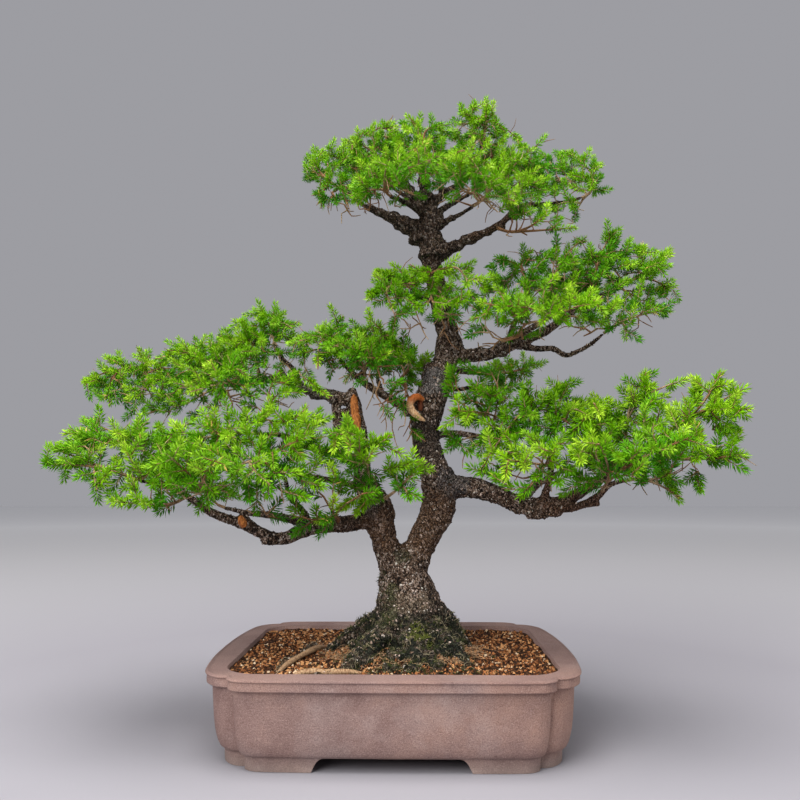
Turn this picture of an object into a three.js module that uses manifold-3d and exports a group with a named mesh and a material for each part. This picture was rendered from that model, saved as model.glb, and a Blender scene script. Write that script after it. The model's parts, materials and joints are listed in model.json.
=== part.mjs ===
// Twin-trunk spruce bonsai planted in a four-footed clay pot.
// Units are millimetres, +Z is up, and the pot stands on the plane z = 0.
// Every point below is measured from the middle of the pot's footprint, at a level that lies
// POT_BASE below its feet. The finished group is then moved so that the feet stand on z = 0 and
// its bounding box is centred sideways on the origin.

import * as THREE from 'three';
import { mergeVertices } from 'three/addons/utils/BufferGeometryUtils.js';
import Module from 'manifold-3d';

const wasm = await Module();
wasm.setup();

// Pot
const POT_HALF_WIDTH = 180;
const POT_HALF_DEPTH = 143;
const POT_BASE = 6.5;
const POT_TOP = 88;
const POT_FOOT_TOP = 18.5;
const POT_FLOOR_TOP = 25.5;
const POT_FOOT_INSET = 18;
const POT_FOOT_THICKNESS = 16;
const POT_OPENING = { halfWidth: 155, halfDepth: 118, corner: 34 };
const POT_CAVITY_FLOOR = { halfWidth: 140, halfDepth: 103, corner: 28 };
const FOOT_GAP_HALF_FRONT = 71;
const FOOT_GAP_HALF_SIDE = 52;
const FOOT_GAP_SLOPE = 7;
const FOOT_GAP_ROUND = 5;
const DRAIN_HOLE_X = 78;
const DRAIN_HOLE_RADIUS = 11;

// How far the outer wall stands back from the rim, and at what height, from the foot up
const POT_WALL = [
  { inset: 18, z: POT_BASE },
  { inset: 17.4, z: 18.8 },
  { inset: 14, z: 20.6 },
  { inset: 11.8, z: 25 },
  { inset: 9.4, z: 34 },
  { inset: 7.6, z: 48 },
  { inset: 5.8, z: 76.5 },
  { inset: 1, z: 77.5 },
  { inset: 0, z: 85.5 },
  { inset: 2, z: 88 },
];

// One quarter of the plan, from the middle of the right side to the middle of the back.
// Its two rounded ends meet in a shallow upright groove at the corner.
const POT_QUARTER = [
  [180, 0], [179, 40], [176, 75], [172, 101], [166, 115], [156, 124.5],
  [147, 128],
  [143.5, 134.5], [136, 139.5], [124, 141.5], [85, 142.4], [42, 142.9],
];

// Drain screens
const SCREEN_SIZE = 30;
const SCREEN_THICKNESS = 1;
const SCREEN_CELLS = 3;
const SCREEN_BAR = 2;

// Soil
const SOIL_LEVEL = 82.5;
const SOIL_MOUND = { x: 8, y: -28, height: 17, halfWidth: 74, halfDepth: 66 };
const SEAT_GAP = 0.3;
const ROOT_GAP = 0.5;

// Needles and shoots. A shoot's slim core has three sides, turned by a sixth of a turn from one
// ring to the next, and one in two of the triangles between rings is drawn out into a needle.
const NEEDLE_LENGTH = 8.6;
const NEEDLE_LEAN = 0.62;
const NEEDLE_PITCH = 7.2;
const NEEDLE_CLEARANCE = 1.6;
const BUD_LENGTH = 4.7;
const LEAFY_LENGTH = 28;
const STEM_BASE_RADIUS = 1.9;
const STEM_TIP_RADIUS = 1.25;
const BARE_STEP = 30;
const FORK_FIRST = 0.28;
const FORK_STEP = 0.16;
const TWIG_LENGTH = 9;
const TWIG_RADIUS = 2;
const SPRAY_SEED = 4711;

// Trunks: each row is x, y, z and the radius there
const MAIN_TRUNK = [
  [13, -8, 84, 42], [13, -8, 112, 38], [12, -8, 128, 35], [11, -8, 144, 31], [11, -6, 168, 26],
  [18, -5, 182, 20], [25, -4, 192, 17.5], [33, -3, 207, 18], [44, -1, 224, 17.5],
  [48, 0, 244, 18.5], [43, 1, 268, 16.5], [36, 2, 293, 15], [32, 2, 316, 15], [35, 2, 336, 17.5],
  [45, 3, 367, 16.5], [56, 4, 396, 13.5], [59, 4, 421, 12], [54, 4, 442, 12], [48, 4, 472, 11],
  [41, 3, 502, 11], [39, 3, 521, 12.5], [36, 2, 541, 11], [36, 2, 570, 7.5],
];
const LEFT_TRUNK = [
  [9, -8, 150, 20], [2, -8, 166, 19], [-3, -9, 179, 17], [-10, -10, 194, 15.5],
  [-15, -12, 211, 15], [-18, -13, 230, 17], [-28, -11, 249, 13], [-36, -7, 272, 9.5],
  [-37, -2, 298, 8.5], [-41, 3, 323, 8], [-46, 8, 348, 7], [-49, 10, 363, 5],
];

// Limbs, with the radius at the first and last point. The radius falls evenly between them.
const LIMBS = {
  lowLeft: { radii: [9.5, 2.2], points: [
    [-20, -14, 222], [-47, -20, 216], [-78, -28, 214], [-97, -34, 208], [-117, -38, 201],
    [-135, -42, 207], [-155, -47, 217], [-182, -53, 227], [-200, -57, 239], [-215, -60, 248],
    [-252, -66, 260]] },
  lowLeftBack: { radii: [5.5, 2.4], points: [
    [-84, -29, 213], [-112, -12, 220], [-138, 0, 224], [-163, 12, 226], [-191, 26, 231]] },
  lowLeftRiser: { radii: [3.4, 2], points: [
    [-86, -32, 215], [-95, -50, 233], [-104, -62, 243], [-108, -78, 264], [-124, -88, 275]] },
  midLeftLow: { radii: [4.5, 2.2], points: [
    [-29, -11, 249], [-48, -14, 257], [-79, -22, 263], [-101, -32, 268], [-113, -42, 273]] },
  midLeftHigh: { radii: [6.5, 2.4], points: [
    [-37, -7, 276], [-56, -10, 287], [-78, -16, 293], [-101, -24, 300], [-116, -34, 307],
    [-137, -46, 308]] },
  leftBrace: { radii: [5, 5.5], points: [[-68, 12, 353], [-63, 4, 319], [-54, -9, 286]] },
  upLeft: { radii: [7.5, 2.2], points: [
    [-46, 8, 348], [-62, 12, 353], [-74, 14, 357], [-88, 16, 358], [-109, 20, 368],
    [-128, 26, 377], [-150, 30, 376], [-178, 34, 372], [-214, 38, 374], [-253, 42, 381],
    [-287, 44, 391]] },
  upLeftRiser: { radii: [4, 2], points: [
    [-109, 20, 368], [-117, 20, 387], [-130, 21, 400], [-137, 22, 414]] },
  upLeftBack: { radii: [4, 2], points: [[-128, 26, 377], [-162, 66, 384], [-195, 92, 391]] },
  upLeftStub: { radii: [3.5, 2.6], points: [[-127, 26, 376], [-131, 27, 389]] },
  cutStub: { radii: [5, 4], points: [[-140, -43, 209], [-152, -47, 223], [-153, -48, 230]] },
  deadStub: { radii: [4.5, 2], points: [[-146, -44, 213], [-160, -45, 216], [-169, -46, 219]] },
  midLeft: { radii: [6, 2.2], points: [
    [22, 3, 338], [5, 8, 345], [-11, 12, 355], [-31, 15, 367], [-43, 13, 376], [-56, 9, 389],
    [-64, 5, 399]] },
  midLeftFork: { radii: [3.4, 2.2], points: [[-43, 13, 375], [-34, 18, 388], [-27, 22, 405]] },
  midLeftBack: { radii: [3, 2], points: [[-14, 14, 357], [-22, 48, 381], [-21, 74, 400]] },
  backLeft: { radii: [4, 2], points: [[-39, 0, 305], [-59, 40, 301], [-82, 68, 296]] },
  rightLow: { radii: [12.5, 2.4], points: [
    [44, 0, 252], [70, -3, 254], [92, -7, 251], [114, -12, 244], [134, -18, 235],
    [151, -24, 235], [167, -29, 237], [186, -35, 245], [210, -41, 262], [232, -47, 278],
    [251, -51, 292], [270, -54, 305]] },
  rightLowFork: { radii: [5, 2.2], points: [
    [158, -28, 233], [182, -42, 233], [204, -52, 244], [216, -58, 256], [230, -64, 260]] },
  rightLowStub: { radii: [3.4, 3], points: [[186, -43, 235], [207, -50, 237]] },
  rightLowRiser: { radii: [4.5, 2.2], points: [
    [154, -25, 238], [160, -36, 263], [161, -44, 283], [163, -50, 301]] },
  rightLowBack: { radii: [5, 2.2], points: [
    [134, -16, 238], [155, 20, 255], [184, 52, 269], [212, 78, 279]] },
  rightThin: { radii: [4.5, 2.2], points: [
    [38, 3, 306], [53, 8, 312], [75, 8, 312], [97, 2, 308], [118, -8, 311], [135, -18, 316]] },
  rightThinHigh: { radii: [3.4, 1.9], points: [
    [44, 4, 358], [58, 2, 361], [71, -4, 360], [84, -8, 360], [87, -12, 344], [99, -18, 327]] },
  rightUp: { radii: [9, 2.4], points: [
    [56, 4, 398], [74, 1, 398], [91, -3, 398], [107, -6, 400], [137, -8, 412], [165, -8, 424],
    [186, -6, 439], [218, -3, 460], [245, 0, 473]] },
  rightUpLow: { radii: [4, 2], points: [
    [131, -8, 409], [155, -13, 403], [171, -18, 402], [183, -23, 394], [194, -27, 397],
    [209, -31, 405], [221, -34, 415]] },
  rightUpRiser: { radii: [4, 2], points: [
    [124, -7, 406], [128, -10, 425], [142, -12, 458], [143, -12, 483]] },
  rightUpBack: { radii: [5, 2.2], points: [[104, -5, 400], [133, 30, 424], [172, 66, 452]] },
  rightUpFront: { radii: [4.5, 2.2], points: [[112, -6, 401], [128, -40, 409], [145, -66, 416]] },
  leftUp: { radii: [4, 2], points: [[50, 3, 462], [32, -20, 458], [10, -38, 458]] },
  leftUpBack: { radii: [4, 2], points: [[50, 6, 457], [32, 36, 476], [16, 60, 493]] },
  crownLeft: { radii: [5, 2.2], points: [
    [37, 2, 534], [21, -2, 538], [7, -4, 546], [-12, -8, 556], [-34, -12, 567], [-58, -14, 584]] },
  crownLimb: { radii: [5.5, 2.4], points: [
    [34, 2, 562], [21, 1, 573], [8, 0, 598], [-12, 2, 618]] },
  crownUp: { radii: [5.5, 2.4], points: [
    [36, 2, 566], [31, -1, 596], [31, -4, 615], [33, -6, 636]] },
  crownApex: { radii: [5, 2], points: [
    [38, 3, 566], [55, 5, 588], [76, 7, 602], [93, 5, 622], [100, 3, 649]] },
  crownRight: { radii: [6, 2], points: [
    [38, 3, 521], [52, 0, 521], [66, -4, 520], [82, -8, 530], [104, -12, 537], [119, -14, 546],
    [139, -14, 564], [165, -12, 567], [191, -10, 571], [209, -9, 576]] },
  crownRightLow: { radii: [4, 2], points: [
    [37, 1, 548], [54, -12, 548], [68, -26, 549], [85, -46, 552]] },
  crownFrontLeft: { radii: [4, 2], points: [[33, -2, 560], [12, -32, 562], [-4, -62, 557]] },
  crownBackLeft: { radii: [4, 2], points: [[32, 6, 566], [13, 44, 600], [-6, 74, 626]] },
  crownBackRight: { radii: [4.5, 2], points: [[40, 6, 561], [70, 46, 595], [101, 78, 624]] },
  backRight: { radii: [5, 2.2], points: [[52, 8, 388], [81, 46, 388], [111, 82, 391]] },
};

// Roots spread over the mound and go down into it
const ROOTS = [
  { radii: [17, 5], points: [
    [26, -8, 124], [46, -10, 119], [58, -12, 106], [68, -16, 93], [80, -20, 80]] },
  { radii: [17, 4], points: [
    [4, -8, 122], [-22, -12, 111], [-46, -16, 101], [-72, -22, 92], [-100, -30, 82]] },
  { radii: [17, 4], points: [
    [6, -14, 120], [-8, -40, 108], [-26, -66, 96], [-42, -90, 87], [-54, -108, 79]] },
  { radii: [18, 5], points: [[14, -16, 120], [18, -46, 107], [22, -74, 95], [24, -100, 80]] },
  { radii: [15, 4], points: [[24, -12, 119], [46, -40, 104], [60, -62, 93], [74, -84, 80]] },
  { radii: [16, 4], points: [[12, 4, 116], [8, 34, 102], [0, 58, 91], [-6, 78, 79]] },
  { radii: [14, 3.5], points: [[24, 2, 116], [48, 28, 99], [66, 46, 89], [82, 60, 79]] },
  { radii: [4.2, 3], points: [
    [-78, 8, 82], [-86, -18, 88], [-92, -40, 88], [-103, -80, 86.5], [-106, -116, 81]] },
  { radii: [3.2, 3], points: [[-84, -114, 81], [-66, -113, 86], [-44, -104, 85], [-30, -100, 80]] },
];

// Each spray grows at "along" (0 to 1) of a limb and forks to its tips. A spray at the very end
// of its limb carries the limb on, and any other one grows from a short twig.
const SPRAYS = [
  { name: 'crown_left', limb: 'crownLeft', along: 1, tips: [
    [-102, -5, 618], [-82, -22, 560], [-86, 14, 647]] },
  { name: 'crown_up_left', limb: 'crownLimb', along: 1, tips: [[-26, -2, 670], [-59, 4, 654]] },
  { name: 'crown_up', limb: 'crownUp', along: 1, tips: [[15, -8, 676], [51, 2, 672]] },
  { name: 'crown_apex', limb: 'crownApex', along: 1, tips: [
    [106, 0, 700], [78, -4, 682], [128, 8, 668]] },
  { name: 'crown_right_mid', limb: 'crownRight', along: 0.62, tips: [
    [162, 6, 645], [128, -34, 612]] },
  { name: 'crown_right_tip', limb: 'crownRight', along: 1, tips: [
    [225, -4, 613], [218, -30, 588], [200, 12, 641]] },
  { name: 'crown_front_left', limb: 'crownFrontLeft', along: 1, tips: [
    [-7, -108, 566], [-42, -92, 545], [36, -100, 578]] },
  { name: 'crown_front_right', limb: 'crownRightLow', along: 1, tips: [
    [98, -104, 556], [122, -92, 538], [72, -84, 596]] },
  { name: 'crown_under_right', limb: 'crownRight', along: 0.5, tips: [
    [156, -70, 530], [194, -44, 528]] },
  { name: 'crown_back_left', limb: 'crownBackLeft', along: 1, tips: [
    [-51, 98, 669], [8, 120, 680], [-58, 92, 622]] },
  { name: 'crown_back_right', limb: 'crownBackRight', along: 1, tips: [
    [141, 116, 677], [193, 84, 644], [96, 128, 640]] },
  { name: 'right_up_left', limb: 'leftUp', along: 1, tips: [
    [-20, -40, 478], [-30, -30, 455], [0, -66, 430]] },
  { name: 'right_up_trunk', limb: 'leftUp', along: 0.5, tips: [[16, -40, 490], [62, -58, 481]] },
  { name: 'right_up_riser', limb: 'rightUpRiser', along: 1, tips: [
    [115, -18, 504], [154, 0, 519]] },
  { name: 'right_up_mid', limb: 'rightUp', along: 0.72, tips: [
    [178, -14, 515], [217, 6, 536], [190, -60, 486]] },
  { name: 'right_up_tip_high', limb: 'rightUp', along: 0.9, tips: [
    [245, -8, 539], [287, 20, 524]] },
  { name: 'right_up_tip', limb: 'rightUp', along: 1, tips: [
    [309, 2, 520], [304, -10, 470], [268, -52, 482]] },
  { name: 'right_up_tip_low', limb: 'rightUpLow', along: 1, tips: [
    [290, -34, 440], [240, -52, 404]] },
  { name: 'right_up_front', limb: 'rightUpFront', along: 1, tips: [
    [161, -108, 423], [206, -94, 437], [98, -98, 430]] },
  { name: 'right_up_back', limb: 'rightUpBack', along: 1, tips: [
    [246, 104, 504], [183, 118, 510], [232, 96, 452]] },
  { name: 'right_up_back_left', limb: 'leftUpBack', along: 1, tips: [
    [-16, 84, 505], [54, 106, 528]] },
  { name: 'right_low_tip', limb: 'rightLow', along: 1, tips: [
    [351, -64, 351], [331, -58, 368], [344, -92, 327]] },
  { name: 'right_low_tip_low', limb: 'rightLow', along: 0.93, tips: [
    [344, -68, 305], [331, -92, 284]] },
  { name: 'right_low_high', limb: 'rightLow', along: 0.86, tips: [
    [259, -48, 371], [308, -36, 366]] },
  { name: 'right_low_under', limb: 'rightLowFork', along: 1, tips: [
    [278, -80, 242], [258, -108, 266]] },
  { name: 'right_low_front', limb: 'rightLowFork', along: 0.6, tips: [
    [224, -132, 286], [186, -138, 291], [276, -128, 300]] },
  { name: 'right_low_mid', limb: 'rightLow', along: 0.76, tips: [
    [220, -50, 341], [196, -84, 335], [240, -16, 328]] },
  { name: 'right_low_in_high', limb: 'rightLowRiser', along: 1, tips: [
    [174, -44, 359], [197, -18, 346]] },
  { name: 'right_low_in_front', limb: 'rightLowRiser', along: 0.6, tips: [
    [149, -126, 288], [109, -112, 278]] },
  { name: 'right_low_in_left', limb: 'rightThin', along: 1, tips: [
    [137, -36, 357], [128, -74, 322], [84, -84, 270]] },
  { name: 'right_low_thin', limb: 'rightThinHigh', along: 1, tips: [
    [108, -40, 352], [66, -62, 330]] },
  { name: 'right_low_back', limb: 'rightLowBack', along: 1, tips: [
    [278, 98, 321], [217, 112, 317], [262, 60, 284]] },
  { name: 'back_right', limb: 'backRight', along: 1, tips: [
    [185, 112, 411], [132, 132, 409], [92, 122, 362]] },
  { name: 'mid_left_tip', limb: 'midLeft', along: 1, tips: [
    [-88, 10, 431], [-58, 0, 444], [-80, -44, 376]] },
  { name: 'mid_left_front', limb: 'midLeft', along: 0.6, tips: [
    [-43, -62, 397], [-8, -66, 388]] },
  { name: 'mid_left_fork', limb: 'midLeftFork', along: 1, tips: [
    [-30, 26, 444], [0, 10, 426]] },
  { name: 'mid_left_right', limb: 'midLeft', along: 0.3, tips: [[38, 34, 399], [12, -44, 392]] },
  { name: 'mid_left_back', limb: 'midLeftBack', along: 1, tips: [
    [-44, 106, 434], [6, 112, 427]] },
  { name: 'up_left_riser', limb: 'upLeftRiser', along: 1, tips: [
    [-139, 20, 461], [-164, 32, 460], [-113, -14, 427]] },
  { name: 'up_left_mid', limb: 'upLeft', along: 0.62, tips: [[-182, 54, 454], [-202, 18, 426]] },
  { name: 'up_left_far', limb: 'upLeft', along: 0.8, tips: [[-247, 60, 421], [-263, 24, 410]] },
  { name: 'up_left_tip', limb: 'upLeft', along: 1, tips: [
    [-364, 40, 378], [-345, 52, 407], [-322, 14, 345]] },
  { name: 'up_left_front', limb: 'upLeft', along: 0.72, tips: [
    [-214, -44, 352], [-164, -50, 376]] },
  { name: 'up_left_back', limb: 'upLeftBack', along: 1, tips: [
    [-257, 130, 421], [-199, 140, 433], [-250, 104, 372]] },
  { name: 'low_left_tip', limb: 'lowLeft', along: 1, tips: [
    [-350, -62, 295], [-341, -80, 275], [-284, -94, 251]] },
  { name: 'low_left_tip_high', limb: 'lowLeft', along: 0.92, tips: [
    [-345, -40, 310], [-329, -28, 324], [-275, -70, 310]] },
  { name: 'low_left_high', limb: 'midLeftHigh', along: 1, tips: [
    [-226, -66, 306], [-180, -84, 318], [-150, -104, 300]] },
  { name: 'low_left_under', limb: 'lowLeft', along: 0.86, tips: [
    [-260, -100, 240], [-227, -128, 238]] },
  { name: 'low_left_front', limb: 'lowLeft', along: 0.74, tips: [
    [-206, -134, 284], [-160, -138, 276]] },
  { name: 'low_left_riser', limb: 'lowLeftRiser', along: 1, tips: [
    [-148, -128, 262], [-112, -126, 256]] },
  { name: 'low_left_in', limb: 'midLeftLow', along: 1, tips: [
    [-114, -104, 286], [-82, -108, 299]] },
  { name: 'low_left_shoot', limb: 'lowLeft', along: 0.14, tips: [
    [-75, -66, 222], [-58, -80, 242]] },
  { name: 'low_left_trunk', limb: 'leftTrunk', along: 0.6, tips: [
    [-46, -84, 302], [-3, -66, 306]] },
  { name: 'low_left_cross', limb: 'leftTrunk', along: 0.48, tips: [
    [29, -54, 279], [15, -66, 243]] },
  { name: 'low_left_back', limb: 'lowLeftBack', along: 1, tips: [
    [-229, 74, 284], [-266, 46, 285], [-196, 92, 246]] },
];

// Colours, roughness and metalness of the finishes
const FINISHES = {
  clay: { color: 0x9c8078, roughness: 0.82 },
  screen: { color: 0x2a2c2c, roughness: 0.6 },
  soil: { color: 0x7a4a2b, roughness: 0.98 },
  bark: { color: 0x5a4a40, roughness: 0.95 },
  needles: { color: 0x5fae22, roughness: 0.6 },
};

// Numbers from 0 to 1, the same in every run
class Draw {
  constructor(seed) {
    this.state = seed;
  }

  next() {
    this.state = (this.state * 48271) % 2147483647;
    return this.state / 2147483647;
  }

  between(low, high) {
    return low + (high - low) * this.next();
  }
}

function vector(row) {
  return new THREE.Vector3(row[0], row[1], row[2]);
}

// Solids from geometry and back

function toSolid(geometry) {
  const plain = geometry.clone();
  plain.deleteAttribute('normal');
  plain.deleteAttribute('uv');
  const merged = mergeVertices(plain, 1e-4);
  return new wasm.Manifold(new wasm.Mesh({
    numProp: 3,
    vertProperties: Float32Array.from(merged.attributes.position.array),
    triVerts: Uint32Array.from(merged.index.array),
  }));
}

function toGeometry(solid) {
  const mesh = solid.getMesh();
  const geometry = new THREE.BufferGeometry();
  const positions = new Float32Array((mesh.vertProperties.length / mesh.numProp) * 3);
  for (let i = 0; i < positions.length / 3; i += 1) {
    positions[3 * i] = mesh.vertProperties[mesh.numProp * i];
    positions[3 * i + 1] = mesh.vertProperties[mesh.numProp * i + 1];
    positions[3 * i + 2] = mesh.vertProperties[mesh.numProp * i + 2];
  }
  geometry.setAttribute('position', new THREE.BufferAttribute(positions, 3));
  geometry.setIndex(Array.from(mesh.triVerts));
  return geometry;
}

function indexedGeometry(points, faces) {
  const geometry = new THREE.BufferGeometry();
  const flat = points.flatMap((p) => [p.x, p.y, p.z]);
  geometry.setAttribute('position', new THREE.Float32BufferAttribute(flat, 3));
  geometry.setIndex(faces.flat());
  return geometry;
}

function join(solids) {
  return solids.reduce((whole, solid) => whole.add(solid));
}

// The main body of a solid, without loose scraps or sealed hollows
function largest(solid) {
  return solid.decompose().sort((a, b) => b.volume() - a.volume())[0];
}

// A closed skin over rings with equal numbers of points, listed from the bottom up, each one
// running anticlockwise when seen from above
function loft(rings) {
  const count = rings[0].length;
  const points = rings.flat();
  const faces = [];
  for (let level = 0; level + 1 < rings.length; level += 1) {
    for (let i = 0; i < count; i += 1) {
      const j = (i + 1) % count;
      const low = level * count;
      const high = low + count;
      faces.push([low + i, low + j, high + j], [low + i, high + j, high + i]);
    }
  }
  const flat = (ring) => ring.map((p) => new THREE.Vector2(p.x, p.y));
  const top = (rings.length - 1) * count;
  for (const [a, b, c] of THREE.ShapeUtils.triangulateShape(flat(rings.at(-1)), [])) {
    faces.push([top + a, top + b, top + c]);
  }
  for (const [a, b, c] of THREE.ShapeUtils.triangulateShape(flat(rings[0]), [])) {
    faces.push([c, b, a]);
  }
  return indexedGeometry(points, faces);
}

// Pot

function potOutline(inset, z) {
  const scaleX = (POT_HALF_WIDTH - inset) / POT_HALF_WIDTH;
  const scaleY = (POT_HALF_DEPTH - inset) / POT_HALF_DEPTH;
  const mirrored = POT_QUARTER.slice(1).map(([x, y]) => [-x, y]).reverse();
  const back = [...POT_QUARTER, [0, POT_HALF_DEPTH], ...mirrored];
  const front = back.map(([x, y]) => [-x, -y]);
  return [...back, ...front].map(([x, y]) => new THREE.Vector3(x * scaleX, y * scaleY, z));
}

function roundedRectangle({ halfWidth, halfDepth, corner }, z, cornerSteps = 5) {
  const ring = [];
  for (let quarter = 0; quarter < 4; quarter += 1) {
    const signX = quarter === 0 || quarter === 3 ? 1 : -1;
    const signY = quarter < 2 ? 1 : -1;
    for (let step = 0; step <= cornerSteps; step += 1) {
      const angle = (quarter + step / cornerSteps) * (Math.PI / 2);
      ring.push(new THREE.Vector3(
        signX * (halfWidth - corner) + corner * Math.cos(angle),
        signY * (halfDepth - corner) + corner * Math.sin(angle),
        z,
      ));
    }
  }
  return ring;
}

// The tunnel between two feet: straight below, sloping inwards, with rounded upper corners
function footTunnel(halfWidth, length) {
  const top = halfWidth - FOOT_GAP_SLOPE;
  const shape = new THREE.Shape();
  shape.moveTo(-halfWidth, POT_BASE - 1);
  shape.lineTo(halfWidth, POT_BASE - 1);
  shape.lineTo(top + FOOT_GAP_ROUND * 0.4, POT_FOOT_TOP - FOOT_GAP_ROUND);
  shape.lineTo(top - FOOT_GAP_ROUND, POT_FOOT_TOP);
  shape.lineTo(-top + FOOT_GAP_ROUND, POT_FOOT_TOP);
  shape.lineTo(-top - FOOT_GAP_ROUND * 0.4, POT_FOOT_TOP - FOOT_GAP_ROUND);
  const tunnel = new THREE.ExtrudeGeometry(shape, { depth: length, bevelEnabled: false });
  tunnel.translate(0, 0, -length / 2);
  tunnel.rotateX(Math.PI / 2);
  return tunnel;
}

function potSolid() {
  const body = toSolid(loft(POT_WALL.map(({ inset, z }) => potOutline(inset, z))));
  const opening = POT_OPENING;
  const waist = { ...opening, halfWidth: opening.halfWidth - 4, halfDepth: opening.halfDepth - 4 };
  const cavity = toSolid(loft([
    roundedRectangle(POT_CAVITY_FLOOR, POT_FLOOR_TOP),
    roundedRectangle(waist, POT_FLOOR_TOP + 26),
    roundedRectangle(opening, SOIL_LEVEL),
    roundedRectangle(opening, POT_TOP + 2),
  ]));
  const recessInset = POT_FOOT_INSET + POT_FOOT_THICKNESS;
  const recess = toSolid(loft([
    potOutline(recessInset, POT_BASE - 1),
    potOutline(recessInset, POT_FOOT_TOP),
  ]));
  const frontTunnel = toSolid(footTunnel(FOOT_GAP_HALF_FRONT, 2 * POT_HALF_DEPTH));
  const sideTunnel = toSolid(
    footTunnel(FOOT_GAP_HALF_SIDE, 2 * POT_HALF_WIDTH).rotateZ(Math.PI / 2),
  );
  let pot = body.subtract(cavity).subtract(recess).subtract(frontTunnel).subtract(sideTunnel);
  for (const side of [-1, 1]) {
    const hole = new THREE.CylinderGeometry(DRAIN_HOLE_RADIUS, DRAIN_HOLE_RADIUS, 40, 14);
    hole.rotateX(Math.PI / 2);
    hole.translate(side * DRAIN_HOLE_X, 0, POT_FLOOR_TOP);
    pot = pot.subtract(toSolid(hole));
  }
  return pot;
}

// Drain screens: a square of plastic mesh over each hole in the floor

function drainScreen() {
  const plate = new THREE.BoxGeometry(SCREEN_SIZE, SCREEN_SIZE, SCREEN_THICKNESS);
  let screen = toSolid(plate.translate(0, 0, SCREEN_THICKNESS / 2));
  const pitch = (SCREEN_SIZE - SCREEN_BAR) / SCREEN_CELLS;
  const opening = pitch - SCREEN_BAR;
  for (let column = 0; column < SCREEN_CELLS; column += 1) {
    for (let row = 0; row < SCREEN_CELLS; row += 1) {
      const hole = new THREE.BoxGeometry(opening, opening, 3 * SCREEN_THICKNESS);
      const middle = (number) => pitch * (number + 0.5 - SCREEN_CELLS / 2);
      screen = screen.subtract(toSolid(hole.translate(middle(column), middle(row), 0)));
    }
  }
  return toGeometry(screen);
}

// Wood

// A limb of the given rows (x, y, z, radius), with uneven flats like rough bark
function limbSolid(rows, sides, draw, unevenness) {
  const centres = rows.map(vector);
  const rings = [];
  const tangent = new THREE.Vector3().subVectors(centres[1], centres[0]).normalize();
  const side = new THREE.Vector3(0, 1, 0.2).cross(tangent).normalize();
  centres.forEach((centre, index) => {
    const before = centres[Math.max(index - 1, 0)];
    const after = centres[Math.min(index + 1, centres.length - 1)];
    const next = new THREE.Vector3().subVectors(after, before).normalize();
    side.applyQuaternion(new THREE.Quaternion().setFromUnitVectors(tangent, next));
    tangent.copy(next);
    const up = new THREE.Vector3().crossVectors(tangent, side);
    const ring = [];
    for (let i = 0; i < sides; i += 1) {
      const angle = (2 * Math.PI * i) / sides;
      const reach = rows[index][3] * (1 + unevenness * draw.between(-1, 1));
      ring.push(centre.clone()
        .addScaledVector(side, reach * Math.cos(angle))
        .addScaledVector(up, reach * Math.sin(angle)));
    }
    rings.push(ring);
  });
  return toSolid(tube(rings));
}

// A closed tube over rings of points that run anticlockwise about the direction of growth
function tube(rings) {
  const count = rings[0].length;
  const faces = [];
  for (let level = 0; level + 1 < rings.length; level += 1) {
    for (let i = 0; i < count; i += 1) {
      const j = (i + 1) % count;
      const low = level * count;
      const high = low + count;
      faces.push([low + i, low + j, high + j], [low + i, high + j, high + i]);
    }
  }
  const top = (rings.length - 1) * count;
  for (let i = 1; i + 1 < count; i += 1) {
    faces.push([0, i + 1, i], [top, top + i, top + i + 1]);
  }
  return indexedGeometry(rings.flat(), faces);
}

function withRadii({ points, radii }) {
  const last = points.length - 1;
  return points.map((p, i) => [...p, THREE.MathUtils.lerp(radii[0], radii[1], i / last)]);
}

function sidesFor(radius) {
  if (radius > 8) return 7;
  return radius > 5.2 ? 5 : 4;
}

// Where a spray leaves its limb: the point on the axis, the way it heads and the wood's radius
function limbRows(name) {
  return name === 'leftTrunk' ? LEFT_TRUNK : withRadii(LIMBS[name]);
}

function attachment({ limb, along, tips }) {
  const rows = limbRows(limb);
  const place = along * (rows.length - 1);
  const index = Math.min(Math.floor(place), rows.length - 2);
  const share = place - index;
  const start = vector(rows[index]);
  const end = vector(rows[index + 1]);
  const axis = new THREE.Vector3().lerpVectors(start, end, share);
  const radius = THREE.MathUtils.lerp(rows[index][3], rows[index + 1][3], share);
  const limbHeading = end.sub(start).normalize();
  if (along === 1) return { onTip: true, axis, heading: limbHeading, radius };
  const middle = new THREE.Vector3();
  tips.forEach((tip) => middle.add(vector(tip)));
  const aim = middle.divideScalar(tips.length).sub(axis).normalize();
  const square = aim.clone().addScaledVector(limbHeading, -0.75 * aim.dot(limbHeading)).normalize();
  return { onTip: false, axis, heading: square, radius };
}

function twigRows({ axis, heading, radius }) {
  const end = axis.clone().addScaledVector(heading, radius + TWIG_LENGTH);
  return [[...axis.toArray(), TWIG_RADIUS + 0.6], [...end.toArray(), TWIG_RADIUS]];
}

// The same rows, thicker and longer at both ends by "grow"
function grown(rows, grow) {
  if (grow === 0) return rows;
  const thick = rows.map(([x, y, z, radius]) => [x, y, z, radius + grow]);
  const beyond = (end, inner) => {
    const away = vector(end).sub(vector(inner)).setLength(grow);
    return [...vector(end).add(away).toArray(), end[3]];
  };
  thick[0] = beyond(thick[0], thick[1]);
  thick[thick.length - 1] = beyond(thick.at(-1), thick.at(-2));
  return thick;
}

function rootSolids(grow) {
  const draw = new Draw(31);
  return ROOTS.map((root) => limbSolid(grown(withRadii(root), grow), 5, draw, 0.1));
}

function trunkSolid(grow) {
  return limbSolid(grown(MAIN_TRUNK, grow), 9, new Draw(7), 0.07);
}

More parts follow.
